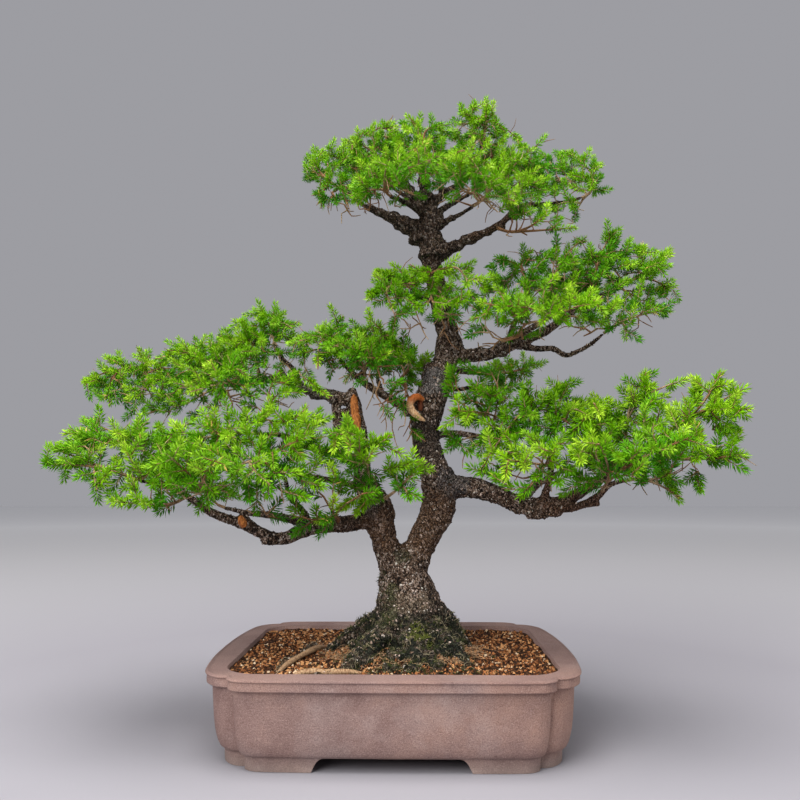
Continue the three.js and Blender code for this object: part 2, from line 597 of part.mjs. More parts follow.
function woodSolid() {
  const draw = new Draw(19);
  const parts = [trunkSolid(0), limbSolid(LEFT_TRUNK, 8, draw, 0.07), ...rootSolids(0)];
  for (const limb of Object.values(LIMBS)) {
    parts.push(limbSolid(withRadii(limb), sidesFor(limb.radii[0]), draw, 0.08));
  }
  for (const spray of SPRAYS) {
    const place = attachment(spray);
    if (!place.onTip) parts.push(limbSolid(twigRows(place), 4, draw, 0));
  }
  return largest(join(parts));
}

// Soil

function soilHeight(x, y) {
  const mound = SOIL_MOUND;
  const reach = ((x - mound.x) / mound.halfWidth) ** 2 + ((y - mound.y) / mound.halfDepth) ** 2;
  return SOIL_LEVEL + mound.height * Math.exp(-reach);
}

function soilSolid() {
  const inner = (rectangle, z) => {
    const { halfWidth, halfDepth, corner } = rectangle;
    return roundedRectangle({
      halfWidth: halfWidth - SEAT_GAP,
      halfDepth: halfDepth - SEAT_GAP,
      corner,
    }, z);
  };
  const opening = POT_OPENING;
  const waist = { ...opening, halfWidth: opening.halfWidth - 4, halfDepth: opening.halfDepth - 4 };
  const floor = POT_FLOOR_TOP + SEAT_GAP;
  const edge = inner(opening, SOIL_LEVEL);
  const draw = new Draw(53);
  const shrunk = (share) => edge.map(({ x, y }) => {
    const bump = draw.between(-0.8, 0.8);
    return new THREE.Vector3(x * share, y * share, soilHeight(x * share, y * share) + bump);
  });
  const bed = loft([
    inner(POT_CAVITY_FLOOR, floor),
    inner(waist, POT_FLOOR_TOP + 26),
    edge,
    shrunk(0.85),
    shrunk(0.65),
    shrunk(0.42),
    shrunk(0.18),
  ]);
  let soil = toSolid(bed).subtract(join([trunkSolid(ROOT_GAP), ...rootSolids(ROOT_GAP)]));
  for (const side of [-1, 1]) {
    const size = SCREEN_SIZE + 2 * SEAT_GAP;
    const seat = new THREE.BoxGeometry(size, size, 2 * (SCREEN_THICKNESS + 2 * SEAT_GAP));
    seat.translate(side * DRAIN_HOLE_X, 0, POT_FLOOR_TOP + SEAT_GAP);
    soil = soil.subtract(toSolid(seat));
  }
  return largest(soil);
}

// Sprays

// The stems of a spray: the first runs from the limb to the first tip, and the others fork off it
function sprayStems(spray) {
  const place = attachment(spray);
  const { heading } = place;
  const reach = place.onTip ? 0 : place.radius + TWIG_LENGTH;
  const base = place.axis.clone().addScaledVector(heading, reach + SEAT_GAP);
  const stems = [];
  spray.tips.forEach((tip, index) => {
    const end = vector(tip);
    let start = base;
    let way = heading;
    if (index > 0) {
      const share = FORK_FIRST + FORK_STEP * (index - 1);
      start = stems[0].curve.getPoint(share);
      way = stems[0].curve.getTangent(share);
    }
    const span = start.distanceTo(end);
    const control = start.clone().addScaledVector(way, span * 0.42);
    stems.push({
      curve: new THREE.QuadraticBezierCurve3(start, control, end),
      radius: index === 0 ? STEM_BASE_RADIUS : STEM_BASE_RADIUS * 0.85,
    });
  });
  return { base, stems };
}

// Segments that needles stay clear of, each with the spray or wood it belongs to
class Neighbours {
  constructor() {
    this.segments = [];
  }

  add(owner, a, b, reach) {
    const middle = a.clone().lerp(b, 0.5);
    const half = a.distanceTo(b) / 2;
    this.segments.push({ owner, line: new THREE.Line3(a, b), reach, middle, half });
  }

  isClear(owner, a, b, clearance) {
    const middle = a.clone().lerp(b, 0.5);
    const half = a.distanceTo(b) / 2;
    return this.segments.every((other) => {
      if (other.owner === owner) return true;
      const limit = clearance + other.reach;
      if (middle.distanceTo(other.middle) > half + other.half + limit) return true;
      return gapBetween(a, b, other.line.start, other.line.end) > limit;
    });
  }
}

// The shortest distance between two straight stretches
function gapBetween(a, b, c, d) {
  const u = new THREE.Vector3().subVectors(b, a);
  const v = new THREE.Vector3().subVectors(d, c);
  const w = new THREE.Vector3().subVectors(a, c);
  const uu = u.dot(u);
  const uv = u.dot(v);
  const vv = v.dot(v);
  const uw = u.dot(w);
  const vw = v.dot(w);
  const spread = uu * vv - uv * uv;
  let s = spread < 1e-9 ? 0 : THREE.MathUtils.clamp((uv * vw - vv * uw) / spread, 0, 1);
  const t = THREE.MathUtils.clamp((uv * s + vw) / vv, 0, 1);
  s = THREE.MathUtils.clamp((uv * t - uw) / uu, 0, 1);
  const near = a.clone().addScaledVector(u, s);
  return near.distanceTo(c.clone().addScaledVector(v, t));
}

// The places of a stem's rings: far apart where it is bare, a needle pitch apart where leafy
function ringShares(length) {
  const leafy = Math.min(LEAFY_LENGTH, length * 0.8);
  const bare = length - leafy;
  const bareCount = Math.max(1, Math.round(bare / BARE_STEP));
  const leafyCount = Math.max(2, Math.round(leafy / NEEDLE_PITCH));
  const shares = [];
  for (let i = 0; i < bareCount; i += 1) shares.push({ at: (bare * i) / bareCount, leafy: false });
  for (let i = 0; i <= leafyCount; i += 1) {
    shares.push({ at: bare + (leafy * i) / leafyCount, leafy: i < leafyCount });
  }
  return shares.map(({ at, leafy: isLeafy }) => ({ share: at / length, leafy: isLeafy }));
}

function shootSolid(owner, stem, draw, neighbours) {
  const { curve, radius } = stem;
  const rings = ringShares(curve.getLength());
  const tangent = curve.getTangent(0);
  const side = new THREE.Vector3(0.3, 0.2, 1).cross(tangent).normalize();
  const points = [];
  let turn = draw.between(0, 2);
  rings.forEach(({ share, leafy }, index) => {
    const next = curve.getTangent(share);
    side.applyQuaternion(new THREE.Quaternion().setFromUnitVectors(tangent, next));
    tangent.copy(next);
    const up = new THREE.Vector3().crossVectors(tangent, side);
    const centre = curve.getPoint(share);
    const reach = THREE.MathUtils.lerp(radius, STEM_TIP_RADIUS, share);
    if (index > 0 && rings[index - 1].leafy) turn += Math.PI / 3;
    for (let i = 0; i < 3; i += 1) {
      const angle = turn + (2 * Math.PI * i) / 3;
      points.push(centre.clone()
        .addScaledVector(side, reach * Math.cos(angle))
        .addScaledVector(up, reach * Math.sin(angle)));
    }
    rings[index] = { share, leafy, centre, tangent: tangent.clone() };
  });
  const faces = [[0, 2, 1]];
  for (let level = 0; level + 1 < rings.length; level += 1) {
    const low = 3 * level;
    const high = low + 3;
    for (let i = 0; i < 3; i += 1) {
      const j = (i + 1) % 3;
      const bareFace = [low + j, high + j, high + i];
      const needleFace = [low + i, low + j, high + i];
      const drawnOut = (level + i) % 2 === 0 ? needleFace : bareFace;
      const plain = drawnOut === needleFace ? bareFace : needleFace;
      faces.push(plain);
      const ring = rings[level];
      const needle = ring.leafy && growNeedle(owner, points, drawnOut, ring, draw, neighbours);
      faces.push(...(needle || [drawnOut]));
    }
  }
  const last = 3 * (rings.length - 1);
  const end = rings.at(-1);
  points.push(end.centre.clone().addScaledVector(end.tangent, BUD_LENGTH));
  for (let i = 0; i < 3; i += 1) faces.push([last + i, last + ((i + 1) % 3), points.length - 1]);
  return toSolid(indexedGeometry(points, faces));
}

// Draws one triangle of the core out into a needle, or gives nothing where another node is near
function growNeedle(owner, points, face, ring, draw, neighbours) {
  const [a, b, c] = face.map((index) => points[index]);
  const root = new THREE.Vector3().add(a).add(b).add(c).divideScalar(3);
  const outward = new THREE.Vector3().subVectors(b, a)
    .cross(new THREE.Vector3().subVectors(c, a)).normalize();
  const heading = outward.addScaledVector(ring.tangent, NEEDLE_LEAN).normalize();
  const tip = root.clone().addScaledVector(heading, NEEDLE_LENGTH * draw.between(0.86, 1.08));
  if (!neighbours.isClear(owner, root, tip, NEEDLE_CLEARANCE)) return null;
  neighbours.add(owner, root, tip, 0.8);
  points.push(tip);
  const top = points.length - 1;
  return [[face[0], face[1], top], [face[1], face[2], top], [face[2], face[0], top]];
}

function woodNeighbours(neighbours) {
  const limbs = [MAIN_TRUNK, LEFT_TRUNK, ...Object.values(LIMBS).map((limb) => withRadii(limb))];
  const twigs = SPRAYS.map(attachment).filter(({ onTip }) => !onTip).map(twigRows);
  for (const rows of [...limbs, ...twigs]) {
    for (let i = 0; i + 1 < rows.length; i += 1) {
      const reach = Math.max(rows[i][3], rows[i + 1][3]) * 1.1;
      neighbours.add('wood', vector(rows[i]), vector(rows[i + 1]), reach);
    }
  }
}

function sprayMeshes() {
  const neighbours = new Neighbours();
  woodNeighbours(neighbours);
  const planned = SPRAYS.map((spray) => ({ ...spray, ...sprayStems(spray) }));
  for (const { name, stems } of planned) {
    stems.forEach(({ curve }, number) => {
      const route = curve.getPoints(8);
      for (let i = 0; i + 1 < route.length; i += 1) {
        neighbours.add(`${name}_${number}`, route[i], route[i + 1], STEM_BASE_RADIUS);
      }
    });
  }
  return planned.map(({ name, base, stems }, index) => {
    const draw = new Draw(SPRAY_SEED + 97 * index);
    const shoots = stems.map((stem, number) => (
      shootSolid(`${name}_${number}`, stem, draw, neighbours)
    ));
    const geometry = toGeometry(largest(join(shoots)));
    geometry.translate(-base.x, -base.y, -base.z);
    const mesh = namedMesh(`spray_${name}`, geometry, FINISHES.needles);
    mesh.position.copy(base);
    return mesh;
  });
}

// The whole plant in its pot

function namedMesh(name, geometry, { color, roughness }) {
  const material = new THREE.MeshStandardMaterial({ color, roughness, metalness: 0 });
  const mesh = new THREE.Mesh(geometry, material);
  mesh.name = name;
  return mesh;
}

const group = new THREE.Group();
group.add(namedMesh('pot', toGeometry(potSolid()), FINISHES.clay));
for (const [side, label] of [[-1, 'left'], [1, 'right']]) {
  const screen = namedMesh(`drain_screen_${label}`, drainScreen(), FINISHES.screen);
  screen.position.set(side * DRAIN_HOLE_X, 0, POT_FLOOR_TOP + SEAT_GAP);
  group.add(screen);
}
group.add(namedMesh('soil', toGeometry(soilSolid()), FINISHES.soil));
group.add(namedMesh('wood', toGeometry(woodSolid()), FINISHES.bark));
for (const mesh of sprayMeshes()) group.add(mesh);

const middle = new THREE.Box3().setFromObject(group, true).getCenter(new THREE.Vector3());
group.position.set(-middle.x, -middle.y, -POT_BASE);

export default group;
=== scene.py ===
"""Twin-trunk spruce bonsai in a four-footed clay pot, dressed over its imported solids.

Lengths are millimetres from the middle of the pot's footprint unless a name ends in _m.
They become metres in the frame's own axes only when a mesh is finished.
"""

from __future__ import annotations

import json
import logging
import math
import random
from collections.abc import Callable, Iterator, Sequence
from contextlib import contextmanager
from dataclasses import dataclass, field
from enum import Enum

import bpy
import numpy as np
from mathutils import Matrix, Vector, kdtree, noise

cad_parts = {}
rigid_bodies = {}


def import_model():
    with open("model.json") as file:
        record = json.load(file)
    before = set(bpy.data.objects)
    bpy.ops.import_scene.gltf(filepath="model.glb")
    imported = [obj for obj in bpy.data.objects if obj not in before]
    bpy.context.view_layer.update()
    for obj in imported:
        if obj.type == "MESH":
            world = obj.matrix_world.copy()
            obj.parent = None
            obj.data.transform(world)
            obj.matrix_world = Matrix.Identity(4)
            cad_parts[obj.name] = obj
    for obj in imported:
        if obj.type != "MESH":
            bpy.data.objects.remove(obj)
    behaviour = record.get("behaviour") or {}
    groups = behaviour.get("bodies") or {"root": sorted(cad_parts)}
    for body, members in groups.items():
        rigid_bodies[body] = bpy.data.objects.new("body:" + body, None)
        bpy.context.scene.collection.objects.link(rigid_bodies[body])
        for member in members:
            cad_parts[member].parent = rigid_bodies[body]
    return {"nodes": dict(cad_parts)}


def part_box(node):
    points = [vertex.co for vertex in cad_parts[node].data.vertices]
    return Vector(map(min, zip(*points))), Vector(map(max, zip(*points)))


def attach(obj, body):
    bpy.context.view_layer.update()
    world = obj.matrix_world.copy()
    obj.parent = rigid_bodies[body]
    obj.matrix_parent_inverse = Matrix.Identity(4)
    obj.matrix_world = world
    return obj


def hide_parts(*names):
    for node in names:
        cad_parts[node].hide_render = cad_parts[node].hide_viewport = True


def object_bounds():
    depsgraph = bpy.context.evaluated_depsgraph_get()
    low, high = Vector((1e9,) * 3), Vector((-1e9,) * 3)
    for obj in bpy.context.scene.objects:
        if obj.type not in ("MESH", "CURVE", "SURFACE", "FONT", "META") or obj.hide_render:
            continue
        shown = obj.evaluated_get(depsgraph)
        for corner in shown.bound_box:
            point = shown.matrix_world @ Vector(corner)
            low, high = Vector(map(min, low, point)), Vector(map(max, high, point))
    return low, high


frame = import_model()
CAD_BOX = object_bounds()

LOG = logging.getLogger("bonsai")
MM = 0.001
PHOTO_SIZE = 800
FULL_TURN = 6.28
GOLDEN_ANGLE = 2.39996
# The number of the bark among the materials of a piece of foliage
BARK = 1
Point = tuple[float, float, float]
Colour = tuple[float, float, float, float]
Array = np.ndarray
Object = bpy.types.Object
Material = bpy.types.Material
Socket = bpy.types.NodeSocket
NodeTree = bpy.types.NodeTree


@dataclass(frozen=True)
class Limb:
    """A limb or root: the radius at its two ends and the points that its axis runs through."""

    radii: tuple[float, float]
    points: tuple[Point, ...]

    def rows(self) -> list[tuple[float, float, float, float]]:
        """Each point with its radius, which changes evenly from end to end."""
        last = len(self.points) - 1
        low, high = self.radii
        return [(*p, low + (high - low) * i / last) for i, p in enumerate(self.points)]


@dataclass(frozen=True)
class Spray:
    """A group of leafy stems that leaves its limb at one place and forks to its tips."""

    name: str
    limb: str
    along: float
    tips: tuple[Point, ...]


# The trunks, each row as x, y, z and the radius there
MAIN_TRUNK = (
    (13, -8, 84, 42), (13, -8, 112, 38), (14, -8, 128, 35), (12, -8, 144, 30.5), (13, -6, 168, 25.5),
    (21, -5, 182, 18.5), (27, -4, 192, 15.5), (34, -3, 207, 16.5), (44, -1, 224, 17.5),
    (48, 0, 244, 18.5), (43, 1, 268, 16.5), (36, 2, 293, 15), (32, 2, 316, 15), (35, 2, 336, 17.5),
    (45, 3, 367, 16.5), (56, 4, 396, 13.5), (59, 4, 421, 12), (54, 4, 442, 12), (48, 4, 472, 11),
    (41, 3, 502, 11), (39, 3, 521, 12.5), (36, 2, 541, 11), (36, 2, 570, 7.5),
)
LEFT_TRUNK = (
    (10, -8, 150, 20), (3, -8, 166, 18), (-4, -9, 179, 15.8), (-10, -10, 194, 14.3),
    (-15, -12, 211, 15), (-18, -13, 230, 17), (-28, -11, 249, 13), (-36, -7, 272, 9.5),
    (-37, -2, 298, 8.5), (-41, 3, 323, 8), (-46, 8, 348, 7), (-49, 10, 363, 5),
)

LIMBS = {
    "low_left": Limb((9.5, 2.2), (
        (-20, -14, 222), (-47, -20, 216), (-78, -28, 214), (-97, -34, 208), (-117, -38, 201),
        (-135, -42, 207), (-155, -47, 217), (-182, -53, 227), (-200, -57, 239), (-215, -60, 248),
        (-252, -66, 260),
    )),
    "low_left_back": Limb((5.5, 2.4), (
        (-84, -29, 213), (-112, -12, 220), (-138, 0, 224), (-163, 12, 226), (-191, 26, 231),
    )),
    "low_left_riser": Limb((3.4, 2), (
        (-86, -32, 215), (-95, -50, 233), (-104, -62, 243), (-108, -78, 264), (-124, -88, 275),
    )),
    "mid_left_low": Limb((4.5, 2.2), (
        (-29, -11, 249), (-48, -14, 257), (-79, -22, 263), (-101, -32, 268), (-113, -42, 273),
    )),
    "mid_left_high": Limb((6.5, 2.4), (
        (-37, -7, 276), (-56, -10, 287), (-78, -16, 293), (-101, -24, 300), (-116, -34, 307),
        (-137, -46, 308),
    )),
    "left_brace": Limb((5, 5.5), ((-68, 12, 353), (-63, 4, 319), (-54, -9, 286))),
    "up_left": Limb((7.5, 2.2), (
        (-46, 8, 348), (-62, 12, 353), (-74, 14, 357), (-88, 16, 358), (-109, 20, 368), (-128, 26, 377),
        (-150, 30, 376), (-178, 34, 372), (-214, 38, 374), (-253, 42, 381), (-287, 44, 391),
    )),
    "up_left_riser": Limb((4, 2), ((-109, 20, 368), (-117, 20, 387), (-130, 21, 400), (-137, 22, 414))),
    "up_left_back": Limb((4, 2), ((-128, 26, 377), (-162, 66, 384), (-195, 92, 391))),
    "up_left_stub": Limb((3.5, 2.6), ((-127, 26, 376), (-131, 27, 389))),
    "cut_stub": Limb((5, 4), ((-140, -43, 209), (-152, -47, 223), (-153, -48, 230))),
    "dead_stub": Limb((4.5, 2), ((-146, -44, 213), (-160, -45, 216), (-169, -46, 219))),
    "mid_left": Limb((6, 2.2), (
        (22, 3, 338), (5, 8, 345), (-11, 12, 355), (-31, 15, 367), (-43, 13, 376), (-56, 9, 389),
        (-64, 5, 399),
    )),
    "mid_left_fork": Limb((3.4, 2.2), ((-43, 13, 375), (-34, 18, 388), (-27, 22, 405))),
    "mid_left_back": Limb((3, 2), ((-14, 14, 357), (-22, 48, 381), (-21, 74, 400))),
    "back_left": Limb((4, 2), ((-39, 0, 305), (-59, 40, 301), (-82, 68, 296))),
    "right_low": Limb((12.5, 2.4), (
        (44, 0, 252), (70, -3, 254), (92, -7, 251), (114, -12, 244), (134, -18, 235), (151, -24, 235),
        (167, -29, 237), (186, -35, 245), (210, -41, 262), (232, -47, 278), (251, -51, 292),
        (270, -54, 305),
    )),
    "right_low_fork": Limb((5, 2.2), (
        (158, -28, 233), (182, -42, 233), (204, -52, 244), (216, -58, 256), (230, -64, 260),
    )),
    "right_low_stub": Limb((3.4, 3), ((186, -43, 235), (207, -50, 237))),
    "right_low_riser": Limb((4.5, 2.2), (
        (154, -25, 238), (160, -36, 263), (161, -44, 283), (163, -50, 301),
    )),
    "right_low_back": Limb((5, 2.2), ((134, -16, 238), (155, 20, 255), (184, 52, 269), (212, 78, 279))),
    "right_thin": Limb((4.5, 2.2), (
        (38, 3, 306), (53, 8, 312), (75, 8, 312), (97, 2, 308), (118, -8, 311), (135, -18, 316),
    )),
    "right_thin_high": Limb((3.4, 1.9), (
        (44, 4, 358), (58, 2, 361), (71, -4, 360), (84, -8, 360), (87, -12, 344), (99, -18, 327),
    )),
    "right_up": Limb((9, 2.4), (
        (56, 4, 398), (74, 1, 398), (91, -3, 398), (107, -6, 400), (137, -8, 412), (165, -8, 424),
        (186, -6, 439), (218, -3, 460), (245, 0, 473),
    )),
    "right_up_low": Limb((4, 2), (
        (131, -8, 409), (155, -13, 403), (171, -18, 402), (183, -23, 394), (194, -27, 397),
        (209, -31, 405), (221, -34, 415),
    )),
    "right_up_riser": Limb((4, 2), ((124, -7, 406), (128, -10, 425), (142, -12, 458), (143, -12, 483))),
    "right_up_back": Limb((5, 2.2), ((104, -5, 400), (133, 30, 424), (172, 66, 452))),
    "right_up_front": Limb((4.5, 2.2), ((112, -6, 401), (128, -40, 409), (145, -66, 416))),
    "left_up": Limb((4, 2), ((50, 3, 462), (32, -20, 458), (10, -38, 458))),
    "left_up_back": Limb((4, 2), ((50, 6, 457), (32, 36, 476), (16, 60, 493))),
    "crown_left": Limb((5, 2.2), (
        (37, 2, 534), (21, -2, 538), (7, -4, 546), (-12, -8, 556), (-34, -12, 567), (-58, -14, 584),
    )),
    "crown_limb": Limb((5.5, 2.4), ((34, 2, 562), (21, 1, 573), (8, 0, 598), (-12, 2, 618))),
    "crown_up": Limb((5.5, 2.4), ((36, 2, 566), (31, -1, 596), (31, -4, 615), (33, -6, 636))),
    "crown_apex": Limb((5, 2), ((38, 3, 566), (55, 5, 588), (76, 7, 602), (93, 5, 622), (100, 3, 649))),
    "crown_right": Limb((6, 2), (
        (38, 3, 521), (52, 0, 521), (66, -4, 520), (82, -8, 530), (104, -12, 537), (119, -14, 546),
        (139, -14, 564), (165, -12, 567), (191, -10, 571), (209, -9, 576),
    )),
    "crown_right_low": Limb((4, 2), ((37, 1, 548), (54, -12, 548), (68, -26, 549), (85, -46, 552))),
    "crown_front_left": Limb((4, 2), ((33, -2, 560), (12, -32, 562), (-4, -62, 557))),
    "crown_back_left": Limb((4, 2), ((32, 6, 566), (13, 44, 600), (-6, 74, 626))),
    "crown_back_right": Limb((4.5, 2), ((40, 6, 561), (70, 46, 595), (101, 78, 624))),
    "back_right": Limb((5, 2.2), ((52, 8, 388), (81, 46, 388), (111, 82, 391))),
}

ROOTS = (
    Limb((17, 5), ((26, -8, 124), (46, -10, 119), (58, -12, 106), (68, -16, 93), (80, -20, 80))),
    Limb((17, 4), ((4, -8, 122), (-22, -12, 111), (-46, -18, 98), (-64, -27, 87), (-82, -38, 78))),
    Limb((17, 4), ((6, -14, 120), (-8, -40, 108), (-26, -66, 96), (-42, -90, 87), (-54, -108, 79))),
    Limb((18, 5), ((14, -16, 120), (18, -46, 107), (22, -74, 95), (24, -100, 80))),
    Limb((15, 4), ((24, -12, 119), (46, -40, 104), (60, -62, 93), (74, -84, 80))),
    Limb((16, 4), ((12, 4, 116), (8, 34, 102), (0, 58, 91), (-6, 78, 79))),
    Limb((14, 3.5), ((24, 2, 116), (48, 28, 99), (66, 46, 89), (82, 60, 79))),
    Limb((4.2, 3), ((-78, 8, 82), (-86, -18, 88), (-92, -40, 88), (-103, -80, 86.5), (-106, -116, 81))),
    Limb((3.2, 3), ((-84, -114, 81), (-66, -113, 86), (-44, -104, 85), (-30, -100, 80))),
)

SPRAYS = (
    Spray("crown_left", "crown_left", 1, ((-102, -5, 618), (-82, -22, 560), (-86, 14, 647))),
    Spray("crown_up_left", "crown_limb", 1, ((-26, -2, 670), (-59, 4, 654))),
    Spray("crown_up", "crown_up", 1, ((15, -8, 676), (51, 2, 672))),
    Spray("crown_apex", "crown_apex", 1, ((106, 0, 700), (78, -4, 682), (128, 8, 668))),
    Spray("crown_right_mid", "crown_right", 0.62, ((162, 6, 645), (128, -34, 612))),
    Spray("crown_right_tip", "crown_right", 1, ((225, -4, 613), (218, -30, 588), (200, 12, 641))),
    Spray("crown_front_left", "crown_front_left", 1, (
        (-7, -108, 566), (-42, -92, 545), (36, -100, 578),
    )),
    Spray("crown_front_right", "crown_right_low", 1, (
        (98, -104, 556), (122, -92, 538), (72, -84, 596),
    )),
    Spray("crown_under_right", "crown_right", 0.5, ((156, -70, 530), (194, -44, 528))),
    Spray("crown_back_left", "crown_back_left", 1, ((-51, 98, 669), (8, 120, 680), (-58, 92, 622))),
    Spray("crown_back_right", "crown_back_right", 1, ((141, 116, 677), (193, 84, 644), (96, 128, 640))),
    Spray("right_up_left", "left_up", 1, ((-20, -40, 478), (-30, -30, 455), (0, -66, 430))),
    Spray("right_up_trunk", "left_up", 0.5, ((16, -40, 490), (62, -58, 481))),
    Spray("right_up_riser", "right_up_riser", 1, ((115, -18, 504), (154, 0, 519))),
    Spray("right_up_mid", "right_up", 0.72, ((178, -14, 515), (217, 6, 536), (190, -60, 486))),
    Spray("right_up_tip_high", "right_up", 0.9, ((245, -8, 539), (287, 20, 524))),
    Spray("right_up_tip", "right_up", 1, ((309, 2, 520), (304, -10, 470), (268, -52, 482))),
    Spray("right_up_tip_low", "right_up_low", 1, ((290, -34, 440), (240, -52, 404))),
    Spray("right_up_front", "right_up_front", 1, ((161, -108, 423), (206, -94, 437), (98, -98, 430))),
    Spray("right_up_back", "right_up_back", 1, ((246, 104, 504), (183, 118, 510), (232, 96, 452))),
    Spray("right_up_back_left", "left_up_back", 1, ((-16, 84, 505), (54, 106, 528))),
    Spray("right_low_tip", "right_low", 1, ((351, -64, 351), (331, -58, 368), (344, -92, 327))),
    Spray("right_low_tip_low", "right_low", 0.93, ((344, -68, 305), (331, -92, 284))),
    Spray("right_low_high", "right_low", 0.86, ((259, -48, 371), (308, -36, 366))),
    Spray("right_low_under", "right_low_fork", 1, ((278, -80, 242), (258, -108, 266))),
    Spray("right_low_front", "right_low_fork", 0.6, (
        (224, -132, 286), (186, -138, 291), (276, -128, 300),
    )),
    Spray("right_low_mid", "right_low", 0.76, ((220, -50, 341), (196, -84, 335), (240, -16, 328))),
    Spray("right_low_in_high", "right_low_riser", 1, ((174, -44, 359), (197, -18, 346))),
    Spray("right_low_in_front", "right_low_riser", 0.6, ((149, -126, 288), (109, -112, 278))),
    Spray("right_low_in_left", "right_thin", 1, ((137, -36, 357), (128, -74, 322), (84, -84, 270))),
    Spray("right_low_thin", "right_thin_high", 1, ((108, -40, 352), (66, -62, 330))),
    Spray("right_low_back", "right_low_back", 1, ((278, 98, 321), (217, 112, 317), (262, 60, 284))),
    Spray("back_right", "back_right", 1, ((185, 112, 411), (132, 132, 409), (92, 122, 362))),
    Spray("mid_left_tip", "mid_left", 1, ((-88, 10, 431), (-58, 0, 444), (-80, -44, 376))),
    Spray("mid_left_front", "mid_left", 0.6, ((-43, -62, 397), (-8, -66, 388))),
    Spray("mid_left_fork", "mid_left_fork", 1, ((-30, 26, 444), (0, 10, 426))),
    Spray("mid_left_right", "mid_left", 0.3, ((38, 34, 399), (12, -44, 392))),
    Spray("mid_left_back", "mid_left_back", 1, ((-44, 106, 434), (6, 112, 427))),
    Spray("up_left_riser", "up_left_riser", 1, ((-139, 20, 461), (-164, 32, 460), (-113, -14, 427))),
    Spray("up_left_mid", "up_left", 0.62, ((-182, 54, 454), (-202, 18, 426))),
    Spray("up_left_far", "up_left", 0.8, ((-247, 60, 421), (-263, 24, 410))),
    Spray("up_left_tip", "up_left", 1, ((-364, 40, 378), (-345, 52, 407), (-322, 14, 345))),
    Spray("up_left_front", "up_left", 0.72, ((-214, -44, 352), (-164, -50, 376))),
    Spray("up_left_back", "up_left_back", 1, ((-257, 130, 421), (-199, 140, 433), (-250, 104, 372))),
    Spray("low_left_tip", "low_left", 1, ((-350, -62, 295), (-341, -80, 275), (-284, -94, 251))),
    Spray("low_left_tip_high", "low_left", 0.92, (
        (-345, -40, 310), (-329, -28, 324), (-275, -70, 310),
    )),
    Spray("low_left_high", "mid_left_high", 1, ((-226, -66, 306), (-180, -84, 318), (-150, -104, 300))),
    Spray("low_left_under", "low_left", 0.86, ((-260, -100, 240), (-227, -128, 238))),
    Spray("low_left_front", "low_left", 0.74, ((-206, -134, 284), (-160, -138, 276))),
    Spray("low_left_riser", "low_left_riser", 1, ((-148, -128, 262), (-112, -126, 256))),
    Spray("low_left_in", "mid_left_low", 1, ((-114, -104, 286), (-82, -108, 299))),
    Spray("low_left_shoot", "low_left", 0.14, ((-75, -66, 222), (-58, -80, 242))),
    Spray("low_left_trunk", "left_trunk", 0.6, ((-46, -84, 302), (-3, -66, 306))),
    Spray("low_left_cross", "left_trunk", 0.48, ((29, -54, 279), (15, -66, 243))),
    Spray("low_left_back", "low_left_back", 1, ((-229, 74, 284), (-266, 46, 285), (-196, 92, 246))),
)

# How far the level that heights are measured from lies under the pot's feet
POT_BASE = 6.5

# How a spray leaves its limb and forks, as in the solids
SEAT_GAP = 0.3
TWIG_LENGTH = 9.0
FORK_FIRST = 0.28
FORK_STEP = 0.16
STEM_BEND = 0.42
SIDE_TURN = 0.75

# The pads of foliage, and the size of their shoots
PADS = {
    "crown": 0.94, "right_up": 1.04, "right_low": 1.2, "back": 1.0, "mid_left": 1.04, "up_left": 1.0,
    "low_left": 1.2,
}

